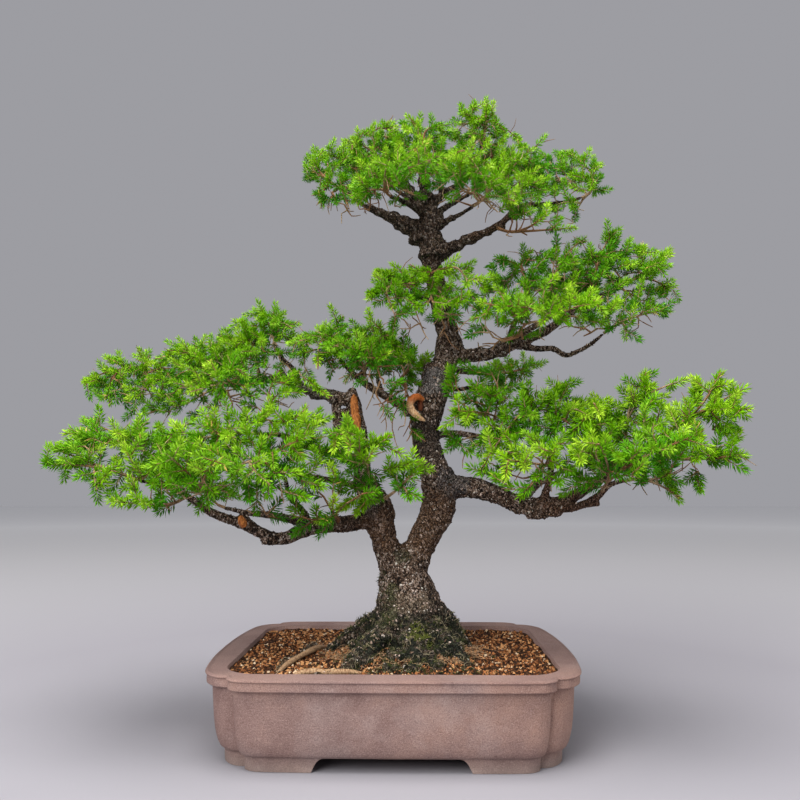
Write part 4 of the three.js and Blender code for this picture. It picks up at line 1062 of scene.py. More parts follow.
class Clay(Finish):
    """Unglazed pinkish-brown clay, clouded orange brown and pale grey, with a grained skin."""

    gloss = 0.25

    def paint(self) -> None:
        """Clouds and specks the clay, and darkens it at the feet and on the rim."""
        tree, place = self.tree, self.place
        cloud = tree.remap(tree.noise(place, 16.0, 4.0), 0.36, 0.64)
        base = tree.mix(cloud, rgb(123, 98, 93), rgb(152, 126, 119))
        warm = self.effect(Effect.BLOTCHES, scale=8.0, level=0.5, softness=0.22)[0]
        base = tree.tint(base, warm, 0.5, rgb(158, 118, 96))
        shifted = tree.vector("ADD", place, (0.31, 0.17, 0.05))[0]
        pale = self.effect(Effect.BLOTCHES, vector=shifted, scale=13.0, level=0.55, softness=0.18)[0]
        base = tree.tint(base, pale, 0.4, rgb(174, 158, 154))
        fine = tree.noise(place, 1000.0, 3.0, 0.75)
        base = tree.mix(tree.remap(fine, 0.5, 0.3, 0.0, 0.55), base, rgb(84, 62, 56))
        base = tree.mix(tree.remap(fine, 0.52, 0.7, 0.0, 0.5), base, rgb(188, 164, 156))
        dark = self.effect(Effect.FLECKS, scale=520.0, share=0.2, size=0.36)["Mask"]
        base = tree.tint(base, dark, 0.45, rgb(80, 60, 54))
        base = tree.tint(base, self.height(0.016, 0.002), 0.5, rgb(122, 112, 106))
        base = tree.tint(base, self.height(0.0796, 0.0808), 0.6, rgb(104, 84, 80))
        grain = self.effect(Effect.GRAIN, scale=800.0)[0]
        self.set(base, tree.remap(grain, 0.7, 1.3, 0.72, 0.9))
        self.relief(grain, 0.0006, 0.9)


class SoilBed(Finish):
    """The damp fine stuff between the grains."""

    gloss = 0.2

    def paint(self) -> None:
        """Specks the dark soil."""
        tree = self.tree
        speck = self.effect(Effect.FLECKS, scale=420.0, share=0.6, size=0.6)
        base = tree.mix(tree.noise(self.place, 60.0), rgb(16, 8, 3), rgb(58, 36, 21))
        base = tree.mix(speck["Mask"], base, rgb(110, 74, 47))
        self.set(base, tree.remap(speck["Value"], 0.0, 1.0, 0.85, 1.0))
        self.relief(self.effect(Effect.GRAIN, scale=520.0)[0], 0.0012)


class Chips(Finish):
    """Grains of fired clay, pumice and lava, each in its own colour."""

    gloss = 0.2
    stops = (
        (0.0, rgb(34, 20, 10)), (0.2, rgb(124, 76, 44)), (0.4, rgb(162, 104, 64)),
        (0.58, rgb(80, 46, 28)), (0.74, rgb(200, 146, 98)), (0.95, rgb(228, 200, 166)),
    )
    is_stepped = True
    grain_scale = 1500.0
    dust = (0.5, rgb(70, 48, 32))

    def paint(self) -> None:
        """Colours each chip by its first mark and grains it."""
        tree, (share, dust) = self.tree, self.dust
        base = tree.ramp(tree.marks()["X"], self.stops, self.is_stepped)
        grain = self.effect(Effect.GRAIN, scale=self.grain_scale)[0]
        base = tree.mix(tree.remap(grain, 0.7, 1.3, 0.0, share), base, dust)
        self.set(base, tree.remap(grain, 0.7, 1.3, 0.8, 1.0))
        self.relief(grain, 0.0004)


class Flakes(Chips):
    """Loose flakes of bark from near black over brown to beige and lichen grey."""

    stops = (
        (0.0, rgb(26, 21, 16)), (0.3, rgb(62, 48, 38)), (0.6, rgb(104, 84, 68)),
        (0.72, rgb(158, 134, 118)), (0.88, rgb(204, 182, 170)), (1.0, rgb(206, 204, 192)),
    )
    is_stepped = False
    grain_scale = 1700.0
    dust = (0.45, rgb(58, 46, 36))


class Bark(Finish):
    """Dark, finely crumbled bark with pale flecks, lichen patches, and moss over the root base."""

    gloss = 0.2
    stops = (
        (0.15, rgb(15, 10, 7)), (0.38, rgb(85, 65, 51)), (0.6, rgb(156, 129, 109)),
        (0.78, rgb(206, 183, 166)), (0.92, rgb(230, 216, 206)),
    )
    crown = (0.37, 0.55, rgb(26, 22, 14))
    mossy_middle = (0.014, -0.03, 0.09)

    def paint(self) -> None:
        """Colours the scales, darkens the crown's bark, adds moss and crusts and paints shade in cracks.
        """
        tree = self.tree
        scales = self.effect(Effect.SCALES, scale=430.0, warp=0.005)
        fine = self.effect(Effect.SCALES, scale=980.0, warp=0.002)
        tone = tree.math("ADD", scales["Value"], fine["Value"])
        base = tree.ramp(tree.math("MULTIPLY", tone, 0.5), self.stops)
        low, high, dark = self.crown
        base = tree.tint(base, self.height(low, high), 0.55, dark)
        creeping = self.effect(Effect.BLOTCHES, scale=48.0, level=0.4, softness=0.12)[0]
        spread = tree.remap(creeping, 0.0, 1.0, 0.5)
        mossy = tree.math("MULTIPLY", self.height(0.146, 0.112), spread)
        away = tree.vector("DISTANCE", self.place, self.mossy_middle)["Value"]
        damp = tree.mix(fine["Value"], rgb(12, 16, 13), rgb(72, 76, 62))
        dusty = tree.mix(fine["Value"], rgb(46, 32, 20), rgb(142, 114, 84))
        base = tree.mix(mossy, base, tree.mix(tree.remap(away, 0.105, 0.07), dusty, damp))
        for centre, radius, dark, pale, share in LICHENS:
            patch = self.effect(Effect.PATCH, centre=centre, radius=radius, ragged=1.1)[0]
            base = tree.tint(base, patch, share, tree.mix(fine["Value"], dark, pale))
        pink = self.effect(Effect.FLECKS, scale=560.0, share=0.13, size=0.5)["Mask"]
        base = tree.tint(base, pink, 0.6, rgb(186, 166, 156))
        # Painted shade: the cracks between the fine scales and the edges of the large scales darken to
        # near black.
        base = tree.mix(tree.remap(fine["Height"], 0.36, 0.0, 0.0, 0.85), base, rgb(18, 13, 9))
        base = tree.mix(tree.remap(scales["Height"], 0.28, 0.0), base, rgb(10, 7, 5))
        self.set(base, tree.remap(fine["Value"], 0.0, 1.0, 0.82, 1.0))
        self.relief(tree.math("ADD", scales["Height"], tree.math("MULTIPLY", fine["Height"], 0.5)), 0.0022)


class YoungBark(Finish):
    """Thin twigs, orange brown where young and grey tan where older."""

    gloss = 0.25

    def paint(self) -> None:
        """Colours the twigs by age, ribs them and paints shade in the grooves between the ribs."""
        tree = self.tree
        age = self.effect(Effect.BLOTCHES, scale=22.0, level=0.42, softness=0.2)[0]
        base = tree.mix(age, rgb(146, 104, 70), rgb(186, 160, 124))
        rib = self.effect(Effect.SCALES, scale=900.0, warp=0.001)
        # Painted shade: the grooves between the ribs are darkened.
        base = tree.mix(tree.remap(rib["Height"], 0.4, 0.0, 0.0, 0.8), base, rgb(60, 42, 28))
        self.set(base, tree.remap(rib["Value"], 0.0, 1.0, 0.65, 0.85))
        self.relief(rib["Height"], 0.0005)


class Needles(Finish):
    """Needles from dark inner green, older and in painted shade, to bright green at young tips, a few
    dead.
    """

    gloss = 0.1
    stops = (
        (0.0, rgb(26, 42, 0)), (0.32, rgb(72, 114, 2)), (0.68, rgb(124, 172, 10)),
        (1.0, rgb(174, 208, 58)),
    )
    dead_from = 0.955

    def paint(self) -> None:
        """Colours each needle by its youth and painted shade, its own tone and the place along it."""
        tree = self.tree
        # The first mark is the needles' youth, lowered as painted shade where a shoot lies under others.
        youth_and_shade, tone, along = tree.marks()
        base = tree.tint(tree.ramp(youth_and_shade, self.stops), tone, 0.5, rgb(58, 138, 12))
        cool = self.effect(Effect.BLOTCHES, scale=14.0, level=0.46, softness=0.16)[0]
        base = tree.tint(base, cool, 0.45, rgb(44, 130, 22))
        base = tree.mix(tree.remap(along, 0.3, 0.0, 0.0, 0.4), base, rgb(120, 100, 30))
        base = tree.mix(tree.math("GREATER_THAN", tone, self.dead_from), base, rgb(186, 160, 84))
        self.set(base, tree.remap(tone, 0.0, 1.0, 0.42, 0.6))
        self.relief(tree.noise(self.place, 1800.0, 1.0), 0.0002)


class Moss(Finish):
    """Short moss, dark below and bright at the tips."""

    gloss = 0.2
    tips = ((0.0, rgb(38, 44, 38)), (0.6, rgb(84, 86, 68)), (0.84, rgb(176, 162, 130)))

    def paint(self) -> None:
        """Colours each blade by its kind and the place along it."""
        tree = self.tree
        wet, tone, along = tree.marks()
        base = tree.mix(along, rgb(9, 12, 10), tree.ramp(tone, self.tips, True))
        bright = tree.mix(along, rgb(44, 58, 14), rgb(142, 150, 62))
        self.set(tree.mix(wet, base, bright), tree.remap(tone, 0.0, 1.0, 0.85, 1.0))


class BareWood(Finish):
    """Wood without bark, in streaks between two colours."""

    gloss = 0.3
    burnt_m = (0.339, 0.347)

    def __init__(
        self, name: str, effects: Effects, dark: Colour, pale: Colour, is_burnt: bool = False
    ) -> None:
        """Makes the material and paints it.

        Args:
            name: The material's name.
            effects: The shared effects.
            dark: The colour of the late wood and the cracks.
            pale: The colour of the clean wood.
            is_burnt: True where the wood turns orange towards the healed edge above.
        """
        self.dark, self.pale, self.is_burnt = dark, pale, is_burnt
        super().__init__(name, effects)

    def paint(self) -> None:
        """Draws the streaks along the wood."""
        tree = self.tree
        streak = tree.noise(tree.vector("MULTIPLY", self.place, (1.0, 1.0, 0.16))[0], 700.0, 4.0, 0.6)
        base = tree.mix(tree.remap(streak, 0.35, 0.68), self.dark, self.pale)
        if self.is_burnt:
            height = tree.split(self.place)["Z"]
            edge = tree.math("ADD", height, tree.math("MULTIPLY", streak, 0.012))
            base = tree.mix(tree.remap(edge, *self.burnt_m), base, rgb(176, 96, 44))
        self.set(base, tree.remap(streak, 0.3, 0.7, 0.6, 0.8))
        self.relief(streak, 0.0008)


class BlackMesh(Finish):
    """Moulded black plastic with a little dust."""

    def paint(self) -> None:
        """Dusts the plastic."""
        dust = self.effect(Effect.BLOTCHES, scale=160.0, level=0.5, softness=0.2)[0]
        base = self.tree.mix(dust, rgb(30, 32, 32), rgb(84, 76, 66))
        self.set(base, self.tree.remap(dust, 0.0, 1.0, 0.45, 0.8))
        self.relief(self.tree.noise(self.place, 2200.0), 0.0001)


class StudioFloor(Finish):
    """A plain pale floor, lighter far away so that it meets the sky without a line."""

    gloss = 0.1

    def paint(self) -> None:
        """Fades the floor outward."""
        away = self.tree.remap(self.tree.vector("LENGTH", self.place)["Value"], 0.6, 5.0)
        self.set(self.tree.mix(away, rgb(138, 136, 142), rgb(250, 250, 250)), 0.9)


# Pot


def smooth_run(points: Sequence[tuple[float, float]], steps: int = 6) -> list[tuple[float, float]]:
    """A smooth line through plan points.

    Args:
        points: The points that it runs through.
        steps: How many stretches lie between two of them.

    Returns:
        The line's points, without the last one.
    """
    rows = [np.array(p, float) for p in points]
    rows = [2 * rows[0] - rows[1], *rows, 2 * rows[-1] - rows[-2]]
    line = []
    for a, b, c, d in zip(rows, rows[1:], rows[2:], rows[3:]):
        for t in (step / steps for step in range(steps)):
            bend = 2 * b + (c - a) * t + (2 * a - 5 * b + 4 * c - d) * t**2
            line.append(tuple((bend + (3 * b - a - 3 * c + d) * t**3) / 2))
    return line


@dataclass
class Pot:
    """The clay pot: two rounded ends meet in a shallow groove at each corner.

    The wall's rows are how far each ring lies inside the widest place, and its height. The
    lining's rows are half its width, half its depth, the corner's radius and the height.
    """

    clay: Material
    half_width: float = 180.0
    half_depth: float = 143.0
    foot_top: float = 18.5
    foot_inset: float = 34.0
    floor_top: float = 25.5
    drain_x: float = 78.0
    drain_radius: float = 11.0
    side_run: tuple = (
        (180, 0), (179, 40), (176, 75), (172, 101), (166, 115), (156.5, 124), (145.8, 126.4),
    )
    front_run: tuple = ((145.8, 126.4), (143.6, 134), (136, 139.5), (124, 141.5), (85, 142.4), (0, 143))
    wall: tuple = (
        (18, POT_BASE), (17.8, 12), (17.4, 17.6), (16.8, 18.9), (15, 19.6), (13.4, 21.2), (11.8, 25),
        (10.4, 30), (9.2, 36), (8, 46), (7, 60), (6.2, 72), (5.8, 75.6), (4.6, 76.8), (2, 77),
        (1.3, 77.7), (1.2, 79), (1.3, 84.2), (0.7, 85), (0.1, 85.5), (0, 86.3), (0.5, 87.4),
        (1.5, 88), (2.6, 87.8), (3.4, 87.3), (5.2, 87.1),
    )
    lining: tuple = (
        (155, 118, 34, 87.2), (154.6, 117.6, 34, 86.2), (154.5, 117.5, 34, 82), (151, 114, 33, 51),
        (146, 109, 31, 35), (140, 103, 28, 27.5), (136, 99, 26, 25.5),
    )
    tunnels: tuple = ((71, False), (52, True))
    tunnel_taper: float = 7.0
    tunnel_round: float = 5.0
    edge_round: float = 0.8
    edge_angle: float = 52.0
    smooth_angle: float = 35.0
    near: float = 0.01

    def outline(self) -> list[tuple[float, float]]:
        """The plan of the widest place, anticlockwise from the middle of the right side."""
        quarter = smooth_run(self.side_run) + smooth_run(self.front_run)
        half = [*quarter, (0.0, self.half_depth), *((-x, y) for x, y in reversed(quarter[1:]))]
        return half + [(-x, -y) for x, y in half]

    def opening(self, count: int) -> list[tuple[float, float]]:
        """The lining's top edge as so many evenly spaced points, from the middle of the right side.

        Args:
            count: How many points.

        Returns:
            The points.
        """
        half_width, half_depth, corner, _ = self.lining[0]
        path = [(half_width, 0.0)]
        for turn, (sx, sy) in enumerate(((1, 1), (-1, 1), (-1, -1), (1, -1))):
            for step in range(13):
                angle = (turn + step / 12) * math.pi / 2
                x = sx * (half_width - corner) + corner * math.cos(angle)
                path.append((x, sy * (half_depth - corner) + corner * math.sin(angle)))
        route = np.array([*path, path[0]])
        walked = np.concatenate(([0], np.cumsum(np.linalg.norm(np.diff(route, axis=0), axis=1))))
        marks = np.linspace(0, walked[-1], count, endpoint=False)
        return list(zip(np.interp(marks, walked, route[:, 0]), np.interp(marks, walked, route[:, 1])))

    def ring(self, name: str, plan: Sequence[tuple[float, float]], z: float) -> Object:
        """A closed wire of the given plan at one height, which is then the only thing selected.

        Args:
            name: Its name.
            plan: Its points in plan.
            z: Its height.

        Returns:
            The wire.
        """
        bpy.ops.mesh.primitive_circle_add(vertices=len(plan), radius=1.0, fill_type="NOTHING")
        obj = added(name)
        for vertex, (x, y) in zip(obj.data.vertices, plan):
            vertex.co = (x, y, z)
        select_only(obj)
        return obj

    def raise_ring(self, rise: float, scale_x: float, scale_y: float) -> None:
        """Extrudes the selected ring upward and scales it about the pot's axis."""
        bpy.ops.mesh.extrude_region_move(TRANSFORM_OT_translate={"value": (0, 0, rise)})
        bpy.ops.transform.resize(value=(scale_x, scale_y, 1), center_override=(0, 0, 0))

    def draw_in(self, rise: float, inset: float, after: float) -> None:
        """Raises the selected ring from one inset to the next one."""
        wide, deep = self.half_width, self.half_depth
        self.raise_ring(rise, (wide - after) / (wide - inset), (deep - after) / (deep - inset))

    def shell(self) -> Object:
        """The outer wall with the ring of the foot and the hollow under the floor."""
        foot, z = self.wall[0]
        scale_x = (self.half_width - foot) / self.half_width
        scale_y = (self.half_depth - foot) / self.half_depth
        obj = self.ring("pot", [(x * scale_x, y * scale_y) for x, y in self.outline()], z)
        with editing():
            for (inset, z), (after, next_z) in zip(self.wall, self.wall[1:]):
                self.draw_in(next_z - z, inset, after)
        pick(obj, lambda point: point.z < POT_BASE + self.near)
        with editing(whole=False):
            self.draw_in(0, foot, self.foot_inset)
            self.raise_ring(self.foot_top - POT_BASE, 1, 1)
            bpy.ops.mesh.edge_face_add()
        return obj

    def inside(self) -> Object:
        """The lining from the opening's edge down to the floor."""
        obj = self.ring("lining", self.opening(len(self.outline())), self.lining[0][3])
        with editing():
            for row, after in zip(self.lining, self.lining[1:]):
                self.raise_ring(after[3] - row[3], after[0] / row[0], after[1] / row[1])
            bpy.ops.mesh.edge_face_add()
        return obj

    def tunnel(self, half_width: float, turned: bool) -> Object:
        """The gap between two feet, narrower at its rounded top.

        Args:
            half_width: Half its width.
            turned: True where it runs from side to side.

        Returns:
            The solid that is cut away.
        """
        bpy.ops.mesh.primitive_cube_add(size=2.0)
        obj = added("foot_gap")
        tall = self.foot_top - POT_BASE + 1
        length = 2 * (self.half_width if turned else self.half_depth)
        with editing():
            bpy.ops.transform.resize(value=(half_width, length, tall / 2))
            bpy.ops.transform.translate(value=(0, 0, self.foot_top - tall / 2))
        for vertex in obj.data.vertices:
            if vertex.co.z > POT_BASE:
                vertex.co.x *= (half_width - self.tunnel_taper) / half_width
        pick(obj, lambda point: point.z > POT_BASE)
        for edge in obj.data.edges:
            ends = [obj.data.vertices[i].co for i in edge.vertices]
            edge.select = all(end.z > POT_BASE for end in ends) and ends[0].x * ends[1].x > 0
        with editing(whole=False):
            bpy.ops.mesh.select_mode(type="EDGE")
            bpy.ops.mesh.bevel(offset=self.tunnel_round, segments=5, affect="EDGES")
            if turned:
                bpy.ops.mesh.select_all(action="SELECT")
                bpy.ops.transform.rotate(value=math.pi / 2, orient_axis="Z", center_override=(0, 0, 0))
        return obj

    def drain(self, side: int) -> Object:
        """The solid that cuts one drain hole."""
        bpy.ops.mesh.primitive_cylinder_add(
            vertices=40, radius=self.drain_radius, depth=40,
            location=(side * self.drain_x, 0, self.floor_top),
        )
        return added("drain_hole")

    def build(self) -> None:
        """Joins the wall and the lining over the rim, and cuts the feet and the drain holes."""
        select_only(self.shell(), self.inside())
        bpy.ops.object.join()
        pot = bpy.context.active_object
        (inset, top), edge = self.wall[-1], self.lining[0][3]
        pick(pot, lambda point: min(abs(point.z - top), abs(point.z - edge)) < self.near)
        for vertex in pot.data.vertices:
            on_top = abs(vertex.co.z - top) < self.near
            if on_top and abs(vertex.co.y) > self.half_depth - inset + self.near:
                vertex.select = False
        with editing(whole=False):
            bpy.ops.mesh.select_mode(type="EDGE")
            bpy.ops.mesh.bridge_edge_loops(number_cuts=3)
            bpy.ops.mesh.select_all(action="SELECT")
            bpy.ops.mesh.normals_make_consistent(inside=False)
        cutters = [self.tunnel(*row) for row in self.tunnels] + [self.drain(side) for side in (-1, 1)]
        for cutter in cutters:
            apply_modifier(pot, "BOOLEAN", object=cutter, operation="DIFFERENCE", solver="EXACT")
        remove(*cutters)
        sharp = math.radians(self.edge_angle)
        apply_modifier(
            pot, "BEVEL", width=self.edge_round, segments=2, limit_method="ANGLE", angle_limit=sharp
        )
        pot.name = "clay_pot"
        complete(pot, self.clay, "pot", self.smooth_angle)


# Soil


@dataclass
class Soil:
    """The bed of soil with its loose grains and the thin roots that lie on it.

    The mound is its middle, its rise and how far it spreads each way.
    """

    damp: Material
    grit: Material
    root_skin: Material
    half_width: float = 154.6
    half_depth: float = 117.6
    corner: float = 34.0
    level: float = 82.5
    mound: tuple = (8.0, -28.0, 17.0, 74.0, 66.0)
    bed_depth: float = 9.0
    grain_count: int = 8600
    root_count: int = 260
    root_step: float = 5.5
    root_ring: tuple = (42, 36)
    rim_gap: float = 9.0
    smooth_angle: float = 50.0

    def height(self, x: float, y: float) -> float:
        """The height of the bed at a place, with its low mound and its unevenness."""
        mound_x, mound_y, rise, wide, deep = self.mound
        reach = ((x - mound_x) / wide) ** 2 + ((y - mound_y) / deep) ** 2
        rough = noise.noise(Vector((x, y, 0)) * 0.035) * 2.4
        rough += noise.noise(Vector((x, y, 40)) * 0.11) * 1.3
        return self.level + rise * math.exp(-reach) + rough

    def into_corner(self, x: float, y: float) -> tuple[float, float]:
        """Moves a place of the square grid so that the grid's corners become round.

        Args:
            x: The place across.
            y: The place in depth.

        Returns:
            The new place.
        """
        straight_x, straight_y = self.half_width - self.corner, self.half_depth - self.corner
        a = (abs(x) - straight_x) / self.corner
        b = (abs(y) - straight_y) / self.corner
        if a <= 0 or b <= 0:
            return x, y
        round_x = straight_x + self.corner * a * math.sqrt(1 - b * b / 2)
        round_y = straight_y + self.corner * b * math.sqrt(1 - a * a / 2)
        return math.copysign(round_x, x), math.copysign(round_y, y)

    def build_bed(self) -> None:
        """Makes the bed of soil from a grid."""
        bpy.ops.mesh.primitive_grid_add(x_subdivisions=62, y_subdivisions=46, size=2.0)
        bed = added("soil_bed")
        with editing():
            bpy.ops.transform.resize(value=(self.half_width, self.half_depth, 1))
        for vertex in bed.data.vertices:
            x, y = self.into_corner(vertex.co.x, vertex.co.y)
            vertex.co = (x, y, self.height(x, y))
        apply_modifier(bed, "SOLIDIFY", thickness=self.bed_depth, offset=-1.0)
        complete(bed, self.damp, "soil", self.smooth_angle)

    def build_grains(self) -> None:
        """Scatters the loose grains over the bed."""
        draw = random.Random(61)
        patterns = chips("grain", range(3, 11), 1.2, 1.7, 0.5, 0.5, (1.1, 0.95, 0.85))
        grains = Gathering()
        while len(grains.copies) < self.grain_count:
            x = draw.uniform(-self.half_width + 2, self.half_width - 2)
            y = draw.uniform(-self.half_depth + 2, self.half_depth - 2)
            beyond = (abs(x) - self.half_width + self.corner, abs(y) - self.half_depth + self.corner)
            if min(beyond) > 0 and math.hypot(*beyond) > self.corner - 2:
                continue
            size = draw.uniform(0.75, 1.55) * (1.5 if draw.random() < 0.08 else 1.0)
            z = self.height(x, y) + size * draw.uniform(0.1, 0.9)
            turn = facing(np.array([draw.gauss(0, 0.5), draw.gauss(0, 0.5), 1.0]), rolled(draw)) * size
            pattern = draw.choice(patterns)
            marks = pattern.marks + np.array([draw.random(), draw.random(), 0.0])
            grains.add(pattern, turn, np.array([x, y, z]), marks)
        hand_over(grains.build("soil_grains"), (self.grit,))

    def build_roots(self) -> None:
        """Lays thin pale roots over the soil in front of and beside the trunk, and the open ones."""
        draw = random.Random(17)
        strands = Strands(0)
        for _ in range(self.root_count):
            angle = draw.uniform(-math.pi, 0.6)
            far = draw.uniform(0.75, 1.9)
            x = self.mound[0] + self.root_ring[0] * far * math.cos(angle)
            y = self.mound[1] + self.root_ring[1] * far * math.sin(angle)
            heading = angle + draw.uniform(-1.6, 1.6)
            radius = draw.uniform(0.16, 0.42)
            rows = []
            for _ in range(draw.randint(3, 6)):
                if abs(x) > self.half_width - self.rim_gap or abs(y) > self.half_depth - self.rim_gap:
                    break
                rows.append((x, y, self.height(x, y) + draw.uniform(0.6, 2.8), radius))
                heading += draw.uniform(-0.8, 0.8)
                x += self.root_step * math.cos(heading)
                y += self.root_step * math.sin(heading)
                radius *= 0.88
            if len(rows) > 2:
                strands.add_smooth(rows, 2)
        for rows in EXPOSED_ROOTS:
            strands.add_smooth(rows, 6)
        complete(strands.to_object("thin_roots"), self.root_skin)


# Wood


@dataclass
class Wood:
    """The trunks, limbs and roots, remeshed as one and roughened like bark.

    Each relief is the size of its lumps, how high they are and where they lie.
    """

    bark: Material
    voxel: float = 2.1
    axis_step: float = 3.0
    thin: float = 1.0
    thick: float = 12.0
    base_top: float = 150.0
    base_fade: float = 34.0
    reliefs: tuple = ((26.0, 8.0, "base"), (9.0, 5.0, "base"), (12.0, 3.6, "thick"), (4.2, 3.0, "thick"))

    def smooth_rows(self, rows: Sequence[Sequence[float]]) -> Array:
        """Close-set axis points and radii along rows of x, y, z and radius."""
        route = np.array(rows, float)
        walked = np.concatenate(([0], np.cumsum(np.linalg.norm(np.diff(route[:, :3], axis=0), axis=1))))
        marks = np.arange(0, walked[-1], self.axis_step)
        return np.column_stack([np.interp(marks, walked, route[:, i]) for i in range(4)])

    def skeleton(self) -> list[Sequence[Sequence[float]]]:
        """The rows of every trunk, limb and root."""
        return [MAIN_TRUNK, LEFT_TRUNK, *(limb.rows() for limb in (*LIMBS.values(), *ROOTS))]

    def weigh(self, wood: Object) -> None:
        """Makes two vertex groups: one by how thick the wood is, and one for the root base.

        Args:
            wood: The wood.
        """
        axes = np.concatenate([self.smooth_rows(rows) for rows in self.skeleton()])
        tree = kdtree.KDTree(len(axes))
        for number, row in enumerate(axes):
            tree.insert(row[:3], number)
        tree.balance()
        thick = wood.vertex_groups.new(name="thick")
        base = wood.vertex_groups.new(name="base")
        for vertex in wood.data.vertices:
            share = (axes[tree.find(vertex.co)[1]][3] - self.thin) / (self.thick - self.thin)
            thick.add((vertex.index,), min(1.0, max(0.12, share)), "REPLACE")
            low = (self.base_top - vertex.co.z) / self.base_fade
            base.add((vertex.index,), min(1.0, max(0.0, low)), "REPLACE")

    def build(self) -> Surface:
        """Makes the wood and returns its surface, for what clings to it."""
        strands = Strands(4)
        for rows in self.skeleton():
            strands.add_smooth(rows, 6)
        for x, y, z, radius in KNOBS:
            strands.add_line(((x, y, z - radius * 0.5), (x, y, z + radius * 0.5)), (radius, radius * 0.8))
        wood = strands.to_object("trunks_and_limbs")
        apply_modifier(wood, "REMESH", mode="VOXEL", voxel_size=self.voxel)
        self.weigh(wood)
        for relief in self.reliefs:
            displace(wood, *relief)
        surface = Surface.of(wood)
        wood.vertex_groups.clear()
        complete(wood, self.bark, "wood")
        return surface


@dataclass
class Surface:
    """The faces of the wood, for what clings to it, in millimetres."""

    centres: Array
    normals: Array
    areas: Array

    @classmethod
    def of(cls, obj: Object) -> Surface:
        """Reads the faces of an object that isn't moved to its place yet."""
        faces = obj.data.polygons
        areas = np.empty(len(faces))
        faces.foreach_get("area", areas)
        return cls(read(faces, "center"), read(faces, "normal"), areas)

    def spots(self, count: int, share: Array, seed: int) -> list[tuple[Array, Array]]:
        """Draws places on the surface.

        Args:
            count: How many.
            share: How likely each face is, for its area.
            seed: The seed of the draw.

        Returns:
            A place and the direction away from the wood, for each.
        """
        weight = self.areas * share
        draw = np.random.default_rng(seed)
        chosen = draw.choice(len(weight), count, replace=False, p=weight / weight.sum())
        return [(self.centres[i], self.normals[i]) for i in chosen]


